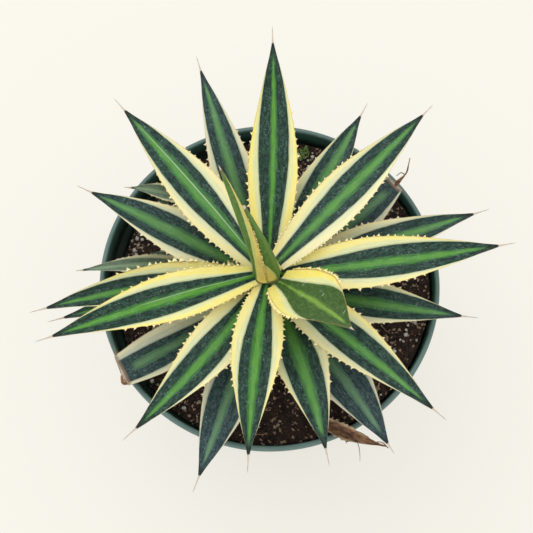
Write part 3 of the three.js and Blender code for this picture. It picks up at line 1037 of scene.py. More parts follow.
@dataclass(frozen=True)
class FibreFinish(Finish):
    """Dry fibrous skin of a dead leaf and of dried tips, pale along the rims and blotched dark."""

    dark: Colour = shade(66, 42, 28)
    light: Colour = shade(160, 116, 82)
    rim: Colour = shade(226, 204, 168)
    rim_share: float = 0.6

    def wire(self, graph: Graph, shader: bpy.types.Node) -> None:
        """Wire long fibres in two browns, dark blotches and the pale rim.

        Args:
            graph: The material's graph.
            shader: Its Principled BSDF.
        """
        fine = graph.use(Striation.tree(), Grain=graph.flat_map("grain"))
        across, _, _ = graph.split(graph.flat_map("blade"))
        out = graph.math("ABSOLUTE", graph.math("MULTIPLY_ADD", across, 2.0, -1.0))
        tone = graph.step(fine.outputs["Fibres"], 0.36, 0.62)
        patch = graph.step(fine.outputs["Mottle"], 0.42, 0.6)
        colour = graph.mix(tone, self.dark, self.light)
        pale = graph.math("MULTIPLY", graph.step(out, 0.55, 0.9), self.rim_share)
        colour = graph.mix(pale, colour, self.rim)
        colour = graph.mix(graph.math("MULTIPLY", patch, 0.6), colour, self.dark)
        graph.feed(shader.inputs["Base Color"], colour)
        self.bump(graph, shader, fine.outputs["Height"], 0.0015, 0.7)


@dataclass(frozen=True)
class StemFinish(Finish):
    """Bark-like skin of the short stem, ringed by old leaf scars."""

    dark: Colour = shade(70, 56, 38)
    light: Colour = shade(150, 128, 84)

    def wire(self, graph: Graph, shader: bpy.types.Node) -> None:
        """Wire rings of scars by height and a rough noise.

        Args:
            graph: The material's graph.
            shader: Its Principled BSDF.
        """
        place = graph.place()
        _, _, z = graph.split(place)
        grit = graph.noise(place, 260, 4, 0.65)
        uneven = graph.math("MULTIPLY", grit, 5.0)
        rings = graph.math("SINE", graph.math("MULTIPLY_ADD", z, 1900.0, uneven))
        colour = graph.mix(graph.step(rings, -0.6, 0.9), self.dark, self.light)
        colour = graph.mix(graph.math("MULTIPLY", grit, 0.5), colour, self.dark)
        graph.feed(shader.inputs["Base Color"], colour)
        self.bump(graph, shader, graph.math("ADD", grit, graph.math("MULTIPLY", rings, 0.3)), 0.0008, 0.7)


@dataclass(frozen=True)
class PaperFinish(Finish):
    """The plain pale floor, which glows a little so that shadows on it stay faint."""

    tint: Colour = (0.93, 0.905, 0.832)
    glow: float = 0.68

    def wire(self, graph: Graph, shader: bpy.types.Node) -> None:
        """Wire a barely uneven pale tint.

        Args:
            graph: The material's graph.
            shader: Its Principled BSDF.
        """
        cloud = graph.noise(graph.place(), 3, 2)
        lit = tuple(c * (1 - self.glow) for c in self.tint)
        darker = tuple(c * 0.985 for c in lit)
        graph.feed(shader.inputs["Base Color"], graph.mix(cloud, lit, darker))
        shader.inputs["Emission Color"].default_value = (*self.tint, 1)
        shader.inputs["Emission Strength"].default_value = self.glow
        shader.inputs["Specular IOR Level"].default_value = 0.0


class Tone(Enum):
    """Ages of skin that the leaves' colours are mixed from."""

    YOUNG = BladeFinish(
        "tone_young",
        "leaf_blade",
        band=shade(44, 80, 60),
        deep=shade(8, 32, 24),
        bloom=shade(134, 166, 154),
        middle=shade(56, 122, 34),
        core=shade(104, 172, 52),
        strip=shade(222, 230, 182),
        seam=shade(152, 174, 140),
        margin=shade(254, 236, 108),
        margin_soft=shade(252, 242, 156),
        edge=shade(186, 138, 88),
        tooth=shade(218, 174, 120),
        scuffs=0.75,
        hazy=0.54,
    )
    OLD = BladeFinish(
        "tone_old",
        "leaf_blade",
        band=shade(70, 92, 94),
        deep=shade(34, 56, 60),
        bloom=shade(146, 166, 166),
        middle=shade(88, 126, 98),
        core=shade(116, 154, 116),
        strip=shade(184, 196, 182),
        seam=shade(150, 166, 160),
        margin=shade(236, 232, 204),
        margin_soft=shade(228, 226, 208),
        edge=shade(176, 146, 124),
        tooth=shade(232, 218, 200),
        scuffs=1.0,
        hazy=0.5,
    )
    OFFSET = BladeFinish(
        "tone_offset",
        "offset_leaf",
        band=shade(134, 154, 130),
        deep=shade(104, 128, 104),
        bloom=shade(160, 176, 160),
        middle=shade(140, 162, 130),
        core=shade(152, 172, 138),
        strip=shade(196, 204, 164),
        seam=shade(168, 182, 150),
        margin=shade(238, 230, 174),
        margin_soft=shade(228, 224, 184),
        edge=shade(184, 150, 110),
        tooth=shade(196, 164, 126),
        scuffs=0.3,
        hazy=0.3,
    )

    def aged(self, other: "Tone", share: float, **changes: object) -> BladeFinish:
        """Mix this tone with an older one.

        Args:
            other: The older tone.
            share: How old the leaf is, from 0 to 1.
            **changes: Fields that are set as they are, the name among them.

        Returns:
            The leaf's own finish.
        """
        first, second = self.value, other.value
        inner = ("band", "deep", "bloom", "middle", "core")
        outer = ("strip", "seam", "margin", "margin_soft", "edge", "tooth")
        mixed = {name: between(getattr(first, name), getattr(second, name), share) for name in inner + outer}
        mixed["scuffs"] = first.scuffs + (second.scuffs - first.scuffs) * share
        mixed["hazy"] = first.hazy + (second.hazy - first.hazy) * share
        mixed["slot"] = first.slot
        return BladeFinish(**{**mixed, **changes})


@dataclass
class LeafForm:
    """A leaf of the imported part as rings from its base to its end, and the point after the last."""

    rings: np.ndarray
    tip: np.ndarray

    @classmethod
    def of_node(cls, node: str) -> "LeafForm":
        """Read a leaf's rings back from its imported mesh.

        Each ring comes out as left margin, upper face, right margin, lower face.

        Args:
            node: The node's name.

        Returns:
            The leaf's form.
        """
        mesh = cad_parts[node].data
        corners = np.array([v.co for v in mesh.vertices])
        points, index = np.unique(np.round(corners, 6), axis=0, return_inverse=True)
        index = index.ravel()
        triangles = [tuple(int(index[i]) for i in face.vertices) for face in mesh.polygons]
        near: list[set[int]] = [set() for _ in points]
        for triangle in triangles:
            for a in triangle:
                near[a].update(b for b in triangle if b != a)
        apex = max(range(len(points)), key=lambda i: len(near[i]))
        level = {apex: 0}
        front = [apex]
        while front:
            following = sorted({b for a in front for b in near[a] if b not in level})
            level.update({b: level[front[0]] + 1 for b in following})
            front = following
        depth = max(level.values())
        beside: list[dict[int, list[int]]] = [{} for _ in range(depth + 1)]
        for triangle in triangles:
            low = min(triangle, key=lambda i: level[i])
            pair = [i for i in triangle if level[i] == level[low] + 1]
            if len(pair) == 2:
                row = beside[level[pair[0]]]
                row.setdefault(pair[0], []).append(pair[1])
                row.setdefault(pair[1], []).append(pair[0])
        rows = []
        for number in range(1, depth + 1):
            order = cls.loop(beside[number])
            ring = points[order]
            rows.append(ring if not rows else cls.aligned(rows[-1], ring))
        return cls.turned(np.array(rows)[::-1], points[apex])

    @staticmethod
    def loop(beside: dict[int, list[int]]) -> list[int]:
        """Walk once round a ring.

        Args:
            beside: For each point, its two neighbours in the ring.

        Returns:
            The points in order.
        """
        start = min(beside)
        order = [start]
        before, here = None, start
        while True:
            after = next(i for i in sorted(beside[here]) if i != before)
            if after == start or len(order) > len(beside):
                return order
            order.append(after)
            before, here = here, after

    @staticmethod
    def aligned(model: np.ndarray, ring: np.ndarray) -> np.ndarray:
        """Turn a ring so that its points match the ring before.

        Args:
            model: The ring before.
            ring: The ring that is turned.

        Returns:
            The ring's points in the matching order.
        """
        count = len(ring)
        turns = [np.roll(way, -k, axis=0) for way in (ring, ring[::-1]) for k in range(count)]
        centred = unit(model - model.mean(0))
        return min(turns, key=lambda t: float(((unit(t - t.mean(0)) - centred) ** 2).sum()))

    @classmethod
    def turned(cls, rings: np.ndarray, tip: np.ndarray) -> "LeafForm":
        """Start every ring at the left margin and go over the upper face.

        Args:
            rings: The rings from base to end, in any order round.
            tip: The point after the last ring.

        Returns:
            The leaf's form.
        """
        count = rings.shape[1]
        half = count // 2
        middle = rings[3:-3]
        ahead = unit(np.roll(middle, -1, axis=1) - middle)
        behind = unit(middle - np.roll(middle, 1, axis=1))
        sharp = 1 - (ahead * behind).sum(-1).mean(0)
        first = max(range(half), key=lambda i: sharp[i] + sharp[i + half])
        rings = np.roll(rings, -first, axis=1)
        centre = rings[len(rings) // 2]
        round_trip = np.linalg.norm(np.roll(centre, -1, axis=0) - centre, axis=1)
        if round_trip[:half].sum() > round_trip[half:].sum():
            rings = np.roll(rings, -half, axis=1)
        station = len(rings) // 2
        forward = rings[station + 1].mean(0) - rings[station - 1].mean(0)
        ring = rings[station]
        up = ring[half // 2] - ring[half + half // 2]
        if np.dot(np.cross(ring[half] - ring[0], forward), up) < 0:
            rings = np.roll(rings[:, ::-1], half + 1, axis=1)
        return cls(rings, tip)

    def fine(self, stations: int, upper: int, lower: int) -> "FineBlade":
        """Resample the form into a fine smooth blade.

        Args:
            stations: Number of rings along the blade.
            upper: Number of steps across the upper face.
            lower: Number of steps across the lower face.

        Returns:
            The fine blade.
        """
        half = self.rings.shape[1] // 2
        line = self.rings.mean(axis=1)
        knots = np.concatenate([[0], np.cumsum(np.linalg.norm(np.diff(line, axis=0), axis=1))])
        share = np.linspace(0, 1, stations)
        at = knots[-1] * (1 - (1 - share) ** 1.25)
        rows = smooth_through(knots, self.rings, at)
        places = np.linspace(0, 1, half + 1)
        top = np.moveaxis(rows[:, : half + 1], 1, 0)
        under = np.moveaxis(rows[:, [0, *range(len(rows[0]) - 1, half - 1, -1)]], 1, 0)
        over = np.linspace(0, 1, upper + 1)
        below = np.linspace(0, 1, lower + 1)
        top_fine = np.moveaxis(smooth_through(places, top, over), 0, 1)
        under_fine = np.moveaxis(smooth_through(places, under, below), 0, 1)
        rings = np.concatenate([top_fine, under_fine[:, -2:0:-1]], axis=1)
        across = np.concatenate([over, below[-2:0:-1]])
        return FineBlade(rings, across, at, self.tip, upper)


@dataclass
class FineBlade:
    """A fine blade: its rings, the place across of each ring point, and the length to each ring."""

    rings: np.ndarray
    across: np.ndarray
    at: np.ndarray
    tip: np.ndarray
    upper: int

    @property
    def length(self) -> float:
        """Length of the blade without its spine, in metres."""
        return float(self.at[-1])

    def margin(self, side: int) -> np.ndarray:
        """Give the line of one margin.

        Args:
            side: -1 for the left margin, 1 for the right.

        Returns:
            The margin's points from base to end.
        """
        return self.rings[:, 0 if side < 0 else self.upper]

    def widths(self) -> np.ndarray:
        """Give the blade's width at each ring, in metres."""
        return np.linalg.norm(self.margin(1) - self.margin(-1), axis=1)


@dataclass
class Blade:
    """One leaf: a fine blade with wavy toothed margins and a spine, made from its node."""

    node: str
    finish: Finish
    seed: int
    stations: int = 110
    upper: int = 18
    lower: int = 10
    tooth_gap: float = 4.6 * MM
    tooth_length: float = 1.45 * MM
    tooth_from: float = 0.06
    tooth_to: float = 0.68
    scallop: float = 0.45 * MM
    ripple: float = 0.35 * MM
    spine_steps: int = 7
    skirt: float = 0.0
    body: str = "root"
    random: np.random.Generator = field(init=False)

    def __post_init__(self) -> None:
        """Seed the leaf's own random numbers."""
        self.random = np.random.default_rng(self.seed)

    def build(self) -> bpy.types.Object:
        """Build, dress and place the leaf.

        Returns:
            The leaf's object.
        """
        blade = LeafForm.of_node(self.node).fine(self.stations, self.upper, self.lower)
        surface = Surface()
        places = {side: self.tooth_places(blade) for side in (-1, 1)}
        self.shape(blade, places)
        self.loft(surface, blade)
        for side in (-1, 1):
            for place in places[side]:
                self.tooth(surface, blade, side, place)
        piece = surface.make(self.node + "_skin")
        self.finish.dress(piece)
        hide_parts(self.node)
        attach(piece, self.body)
        LOG.info("%s: %d points, %d teeth", self.node, surface.count, sum(map(len, places.values())))
        return piece

    def tooth_places(self, blade: FineBlade) -> list[float]:
        """Choose where the teeth stand along one margin.

        Args:
            blade: The fine blade.

        Returns:
            Lengths from the base, in metres.
        """
        places = []
        at = blade.length * self.tooth_from
        while at < blade.length * self.tooth_to:
            places.append(at)
            share = at / blade.length
            spread = 0.5 + 0.5 * min(1.0, share / 0.35)
            at += self.tooth_gap * spread * self.random.uniform(0.6, 1.5)
        return places

    def shape(self, blade: FineBlade, places: dict[int, list[float]]) -> None:
        """Give the blade its soft ripples, and swell the margins under the teeth.

        Args:
            blade: The fine blade, changed in place.
            places: The teeth of each side.
        """
        widths = blade.widths()
        full = np.clip(widths / max(float(widths.max()), 1e-6) * 1.6, 0, 1)
        shift = Vector(self.random.uniform(-40, 40, 3).tolist())
        centre = blade.rings.mean(axis=1)
        ahead = unit(np.gradient(centre, axis=0))
        sideways = unit(blade.margin(1) - blade.margin(-1))
        normal = unit(np.cross(sideways, ahead))
        for row, ring in enumerate(blade.rings):
            for column, point in enumerate(ring):
                wave = noise.noise(Vector(point / (16 * MM)) + shift)
                ring[column] = point + normal[row] * wave * self.ripple * full[row]
        for side in (-1, 1):
            column = 0 if side < 0 else self.upper
            swell = np.zeros(len(blade.at))
            for place in places[side]:
                swell += np.exp(-(((blade.at - place) / (1.2 * MM)) ** 2))
            amount = (np.clip(swell, 0, 1) - 0.35) * self.scallop * full
            blade.rings[:, column] += sideways * side * amount[:, None]

    def loft(self, surface: Surface, blade: FineBlade) -> None:
        """Gather the blade and its spine as one closed shell.

        Args:
            surface: What the shell is gathered in.
            blade: The fine blade.
        """
        end = blade.rings[-1]
        centre = end.mean(0)
        rows = list(blade.rings)
        along = list(blade.at / blade.length)
        lengths = list(blade.at)
        widths = list(blade.widths())
        reach = float(np.linalg.norm(blade.tip - centre))
        for step in range(1, self.spine_steps):
            share = step / self.spine_steps
            rows.append(centre + (blade.tip - centre) * share + (end - centre) * (1 - share) ** 1.1)
            along.append(1 + share * 0.1)
            lengths.append(blade.length + reach * share)
            widths.append(1 * MM)
        if self.skirt:
            foot = rows[0]
            back = unit(foot.mean(0) - rows[5].mean(0))
            rows.insert(0, foot + back * self.skirt + (foot - foot.mean(0)) * 0.1)
            along.insert(0, 0.0)
            lengths.insert(0, -self.skirt)
            widths.insert(0, widths[0])
        rings = np.array(rows)
        count = rings.shape[1]
        across = np.tile(blade.across, len(rows))
        shift = self.random.uniform(0, 400, 2)
        grain_x = (across * 2 - 1) * np.repeat(widths, count) * 500 + shift[0]
        grain_y = np.repeat(lengths, count) * 1000 + shift[1]
        blade_map = np.column_stack([across, np.repeat(along, count)])
        grain_map = np.column_stack([grain_x, grain_y])
        surface.tube(
            rings,
            blade.tip,
            blade=np.vstack([blade_map, [0.5, 1.1]]),
            grain=np.vstack([grain_map, shift]),
        )

    def tooth(self, surface: Surface, blade: FineBlade, side: int, place: float) -> None:
        """Gather one marginal tooth, a small bent point on a broad foot.

        Args:
            surface: What the tooth is gathered in.
            blade: The fine blade.
            side: -1 for the left margin, 1 for the right.
            place: Length from the base.
        """
        margin = blade.margin(side)
        root = np.array([np.interp(place, blade.at, margin[:, axis]) for axis in range(3)])
        ahead_point = np.array([np.interp(place + 0.002, blade.at, margin[:, axis]) for axis in range(3)])
        ahead = unit(ahead_point - root)
        row = int(np.searchsorted(blade.at, place))
        row = min(row, len(blade.at) - 1)
        across = unit((blade.margin(1) - blade.margin(-1))[row]) * side
        outward = unit(across - ahead * np.dot(across, ahead))
        normal = np.cross(ahead, outward)
        share = place / blade.length
        size = self.tooth_length * self.random.uniform(0.45, 1.3) * (1 - 0.8 * max(0.0, share - 0.35))
        lean = self.random.uniform(-0.5, 0.7)
        foot = root - outward * 0.45 * MM
        heights = (0.0, 0.35, 0.7, 0.92)
        radii = (0.62, 0.38, 0.17, 0.07)
        rings = []
        maps = []
        for height, radius in zip(heights, radii, strict=True):
            centre = foot + outward * (size + 0.45 * MM) * height + ahead * size * lean * height**2
            ring = []
            for corner in range(6):
                angle = math.tau * corner / 6 * side
                long = ahead * math.cos(angle) * size * radius * 1.15
                thick = normal * math.sin(angle) * size * radius * 0.7
                ring.append(centre + (long + thick))
                maps.append([0.5 + side * (0.5 + height * 0.055), share])
            rings.append(ring)
        point = foot + outward * (size + 0.45 * MM) + ahead * size * lean
        maps.append([0.5 + side * 0.56, share])
        grain = np.column_stack([np.full(len(maps), place * 1000), np.full(len(maps), share * 50)])
        surface.tube(np.array(rings), point, blade=np.array(maps), grain=grain)


@dataclass(frozen=True)
class LeafLook:
    """How one leaf differs from the others."""

    age: float
    left: float = 0.49
    right: float = 0.49
    mid: float = 0.13
    cream_left: float = 0.2
    cream_right: float = 0.2
    reach: float = 1.0
    line: float = 0.0
    line_across: float = 0.5
    line_end: float = 0.9
    dried: bool = False

    def finish(self, name: str, **changes: object) -> BladeFinish:
        """Give the leaf its own finish.

        Args:
            name: Name of the finish.
            **changes: Fields of the finish that are set as they are.

        Returns:
            The finish.
        """
        own = {key: value for key, value in vars(self).items() if key not in ("age", "dried")}
        if self.dried:
            own["tip"] = shade(164, 134, 108)
            own["tip_from"] = 0.97
        fields = {"name": name, "roughness": 0.42, **own, **changes}
        return Tone.YOUNG.aged(Tone.OLD, self.age, **fields)


@dataclass
class Rosette:
    """The open leaves of the plant, each with its own age and stripe widths."""

    looks: dict[str, LeafLook] = field(
        default_factory=lambda: {
            "leaf_01": LeafLook(0.12, 0.42, 0.45, 0.08, 0.0, 0.05),
            "leaf_02": LeafLook(0.45, 0.45, 0.72, 0.2, 0.4, 0.6),
            "leaf_03": LeafLook(0.3, 0.44, 0.42, 0.15, 0.25, 0.6),
            "leaf_04": LeafLook(0.85, 0.55, 0.42, 0.12, 0.8, 1.0, 1.35, dried=True),
            "leaf_05": LeafLook(0.45, 0.46, 0.42, 0.17, 0.5, 0.5),
            "leaf_06": LeafLook(0.18, 0.43, 0.42, 0.12, 0.05, 0.3),
            "leaf_07": LeafLook(0.4, 0.5, 0.45, 0.16, 0.4, 0.7),
            "leaf_08": LeafLook(0.0, 0.3, 0.36, 0.05, 0.0, 0.1, 0.78),
            "leaf_09": LeafLook(0.28, 0.45, 0.4, 0.12, 0.1, 0.5),
            "leaf_10": LeafLook(1.0, 0.5, 0.5, 0.1, 0.9, 0.9),
            "leaf_11": LeafLook(0.3, 0.46, 0.45, 0.17, 0.6, 0.4),
            "leaf_12": LeafLook(0.15, 0.44, 0.44, 0.14, 0.15, 0.2),
            "leaf_13": LeafLook(0.92, 0.52, 0.52, 0.1, 0.9, 0.9),
            "leaf_14": LeafLook(0.22, 0.42, 0.4, 0.13, 0.5, 0.3),
            "leaf_15": LeafLook(0.82, 0.5, 0.3, 0.1, 1.0, 0.4, 1.6, dried=True),
            "leaf_16": LeafLook(0.08, 0.46, 0.44, 0.13, 0.05, 0.05, 1.0, 0.4, 0.555, 0.62),
            "leaf_17": LeafLook(0.2, 0.45, 0.4, 0.12, 0.2, 0.05),
            "leaf_18": LeafLook(0.25, 0.55, 0.42, 0.13, 0.3, 0.2),
            "leaf_19": LeafLook(0.5, 0.45, 0.45, 0.17, 0.7, 0.3),
            "leaf_20": LeafLook(0.28, 0.42, 0.4, 0.17, 0.35, 0.4, 1.0, 0.6, 0.545, 0.95),
            "leaf_21": LeafLook(0.6, 0.42, 0.45, 0.15, 0.9, 0.6),
        }
    )
    youngest: str = "leaf_08"
    wild: str = "leaf_17"
    wild_tooth: float = 2.7 * MM
    first_seed: int = 100

    def build(self) -> list[bpy.types.Object]:
        """Build every open leaf.

        Returns:
            The leaves' objects.
        """
        made = []
        for number, (node, look) in enumerate(self.looks.items(), 1):
            seed = self.first_seed + number
            if node == self.youngest:
                blade = self.young(node, look, seed)
            else:
                blade = Blade(node, look.finish(node + "_finish"), seed)
            if node == self.wild:
                blade.tooth_length = self.wild_tooth
            made.append(blade.build())
        return made

    def young(self, node: str, look: LeafLook, seed: int) -> Blade:
        """Set up the youngest open leaf: plain mid green, finely toothed, with a tan rim at its end.

        Args:
            node: The leaf's node.
            look: The leaf's look.
            seed: Seed of its own random numbers.

        Returns:
            The leaf, ready to build.
        """
        finish = look.finish(
            node + "_finish",
            band=shade(82, 114, 58),
            deep=shade(52, 86, 40),
            middle=shade(96, 136, 60),
            core=shade(142, 182, 76),
            tip=shade(84, 104, 58),
            edge=shade(196, 152, 116),
            scuffs=0.8,
            nicks=0.16,
            hazy=0.15,
            rim=0.03,
        )
        blade = Blade(node, finish, seed, tooth_gap=2.2 * MM, tooth_length=2.1 * MM)
        blade.tooth_to = 0.62
        blade.ripple = 0.6 * MM
        return blade


@dataclass
class Spear:
    """The rolled young leaves at the centre of the rosette, round their solid heart.

    Each rolled leaf has the green share of its width at the base and the share of its length that its
    yellow margins reach.
    """

    rolled: dict[str, tuple[float, float]] = field(
        default_factory=lambda: {"spear_outer": (0.58, 1.3), "spear_inner": (0.2, 0.36)}
    )
    heart: str = "spear_heart"

    def build(self) -> list[bpy.types.Object]:
        """Build the rolled leaves and dress the heart.

        Returns:
            The spear's objects.
        """
        made = []
        for number, (node, (inside, reach)) in enumerate(self.rolled.items()):
            sides = {"left": inside, "right": inside, "mid": 0.1, "reach": reach}
            finish = SpearFinish(node + "_finish", "young_leaf", 0.4, **sides)
            blade = Blade(node, finish, seed=31 + number, upper=36, lower=36, tooth_gap=2.4 * MM)
            blade.tooth_length = 1.5 * MM
            blade.tooth_to = 0.6
            blade.ripple = 0.15 * MM
            blade.skirt = 2.2 * MM
            made.append(blade.build())
        dark, light = shade(104, 128, 62), shade(176, 184, 104)
        heart = StemFinish("spear_heart_finish", "young_leaf", 0.5, dark, light)
        made.append(heart.dress(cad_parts[self.heart]))
        return made


@dataclass
class Offsets:
    """The small leaves of the two offsets beside the plant."""

    ages: dict[str, float] = field(
        default_factory=lambda: {
            "offset_a_leaf_1": 0.0,
            "offset_a_leaf_2": 0.1,
            "offset_a_leaf_3": 0.7,
            "offset_a_leaf_4": 0.2,
            "offset_b_leaf_1": 0.2,
            "offset_b_leaf_2": 0.5,
        }
    )

    def build(self) -> list[bpy.types.Object]:
        """Build every offset leaf.

        Returns:
            The leaves' objects.
        """
        made = []
        for number, (node, age) in enumerate(self.ages.items()):
            finish = Tone.OFFSET.aged(
                Tone.OLD, age, name=node + "_finish", left=0.56, right=0.56, mid=0.14, roughness=0.45
            )
            blade = Blade(node, finish, seed=61 + number, stations=70, tooth_gap=2.6 * MM)
            blade.tooth_length = 0.7 * MM
            made.append(blade.build())
        return made


@dataclass
class Stem:
    """The short stem that carries the leaves."""

    node: str = "stem"

    def build(self) -> bpy.types.Object:
        """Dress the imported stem.

        Returns:
            The stem's object.
        """
        finish = StemFinish("stem_finish", "stem_skin", 0.7, shade(112, 124, 66), shade(196, 200, 124))
        return finish.dress(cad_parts[self.node])


@dataclass
class Pot:
    """The round nursery pot: a thin tapering wall, a deep band under a rolled lip, and a holed floor."""

    height: float = 160 * MM
    lip_radius: float = 108 * MM
    lip_width: float = 3.2 * MM
    band_height: float = 19 * MM
    band_radius: float = 104.6 * MM
    step_rise: float = 3.5 * MM
    shoulder_radius: float = 100.5 * MM
    foot_radius: float = 74 * MM
    wall: float = 1.8 * MM
    floor: float = 3 * MM
    holes: int = 6
    hole_radius: float = 4.5 * MM
    hole_circle: float = 55 * MM
    fillet: float = 0.8 * MM
    segments: int = 168
    hole_segments: int = 24

    def wall_radius(self, height: float) -> float:
        """Give the outer radius of the tapering wall.

        Args:
            height: A height above the floor, in metres.

        Returns:
            The wall's radius at that height.
        """
        share = height / (self.height - self.band_height)
        return self.foot_radius + (self.shoulder_radius - self.foot_radius) * share

    def profile(self) -> list[tuple[float, float]]:
        """Give the wall's outline from the rim of the underside, over the lip, to the rim of the floor.

        Returns:
            Pairs of radius and height.
        """
        foot = self.height - self.band_height
        inner = self.lip_radius - self.lip_width
        low = self.wall_radius(self.floor + 2 * MM) - self.wall
        return [
            (self.foot_radius - 2 * MM, 0),
            (self.foot_radius, 2 * MM),
            (self.wall_radius(foot / 2), foot / 2),
            (self.shoulder_radius, foot),
            (self.band_radius, foot + 1 * MM),
            (self.band_radius + 1 * MM, self.height - 6 * MM),
            (self.lip_radius, self.height - 4 * MM),
            (self.lip_radius, self.height - 1 * MM),
            (self.lip_radius - 0.9 * MM, self.height),
            (inner + 0.6 * MM, self.height),
            (inner, self.height - 0.8 * MM),
            (self.band_radius - self.wall, foot + self.step_rise),
            (self.shoulder_radius - self.wall, foot - 1 * MM),
            (low, self.floor + 2 * MM),
            (low - 2 * MM, self.floor),
        ]

    def rounded(self, outline: list[tuple[float, float]]) -> np.ndarray:
        """Round the corners of an outline.

        Args:
            outline: Pairs of radius and height.

        Returns:
            The rounded outline.
        """
        corners = np.array(outline, float)
        smooth = [corners[0]]
        for before, corner, after in zip(corners, corners[1:], corners[2:], strict=False):
            back = min(self.fillet, np.linalg.norm(before - corner) * 0.45)
            ahead = min(self.fillet, np.linalg.norm(after - corner) * 0.45)
            start = corner + unit(before - corner) * back
            end = corner + unit(after - corner) * ahead
            for t in (0, 0.35, 0.65, 1):
                smooth.append(start * (1 - t) ** 2 + corner * 2 * t * (1 - t) + end * t**2)
        smooth.append(corners[-1])
        return np.array(smooth)

    def circle(self, radius: float, segments: int, x: float = 0, y: float = 0) -> np.ndarray:
        """Give the points of a level circle.

        Args:
            radius: The circle's radius.
            segments: The number of points.
            x: Its centre's X.
            y: Its centre's Y.

        Returns:
            Pairs of X and Y.
        """
        angle = np.arange(segments) * math.tau / segments
        return np.column_stack([x + radius * np.cos(angle), y + radius * np.sin(angle)])

    def build(self) -> bpy.types.Object:
        """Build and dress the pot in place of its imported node.

        Returns:
            The pot's object.
        """
        surface = Surface()
        outline = self.rounded(self.profile())
        self.turn(surface, outline)
        self.holed_floor(surface, outline[0][0], outline[-1][0])
        piece = surface.make("pot_shell", crease=35, weld=True)
        PlasticFinish("pot_plastic_finish", "pot_plastic", 0.42).dress(piece)
        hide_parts("pot")
        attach(piece, "root")
        LOG.info("pot: %d points", surface.count)
        return piece

    def turn(self, surface: Surface, outline: np.ndarray) -> None:
        """Gather the wall, turned about Z.

        Args:
            surface: What the wall is gathered in.
            outline: Pairs of radius and height.
        """
        rows = []
        for radius, height in outline:
            level = np.full(self.segments, height)
            rows.append(np.column_stack([self.circle(radius, self.segments), level]))
        faces = []
        for row in range(len(rows) - 1):
            low, high = row * self.segments, (row + 1) * self.segments
            for column in range(self.segments):
                after = (column + 1) % self.segments
                faces.append([low + column, low + after, high + after, high + column])
        surface.add(np.vstack(rows), faces)

    def holed_floor(self, surface: Surface, under: float, over: float) -> None:
        """Gather the floor's two faces and the walls of its drainage holes.

        Args:
            surface: What the floor is gathered in.
            under: Radius of the underside.
            over: Radius of the floor inside the pot.
        """
        angles = [(i + 0.5) * math.tau / self.holes for i in range(self.holes)]
        centres = [(self.hole_circle * math.cos(a), self.hole_circle * math.sin(a)) for a in angles]
        rims = [self.circle(self.hole_radius, self.hole_segments, x, y) for x, y in centres]
        for radius, level in ((under, 0.0), (over, self.floor)):
            loops = [self.circle(radius, self.segments), *rims]
            points = np.vstack(loops)
            edges = []
            start = 0
            for loop in loops:
                edges += [(start + i, start + (i + 1) % len(loop)) for i in range(len(loop))]
                start += len(loop)
            flat_points = [Vector(point) for point in points.tolist()]
            found, _, faces, *_ = delaunay_2d_cdt(flat_points, edges, [], 0, 1e-6)
            flat = np.array([[p.x, p.y] for p in found])
            kept = []
            for face in faces:
                middle = flat[list(face)].mean(0)
                if all(math.dist(middle, centre) > self.hole_radius * 0.98 for centre in centres):
                    kept.append(list(face))
            surface.add(np.column_stack([flat, np.full(len(flat), level)]), kept)
        for rim in rims:
            count = len(rim)
            low = np.column_stack([rim, np.zeros(count)])
            high = np.column_stack([rim, np.full(count, self.floor)])
            walls = [[i, (i + 1) % count, count + (i + 1) % count, count + i] for i in range(count)]
            surface.add(np.vstack([low, high]), walls)


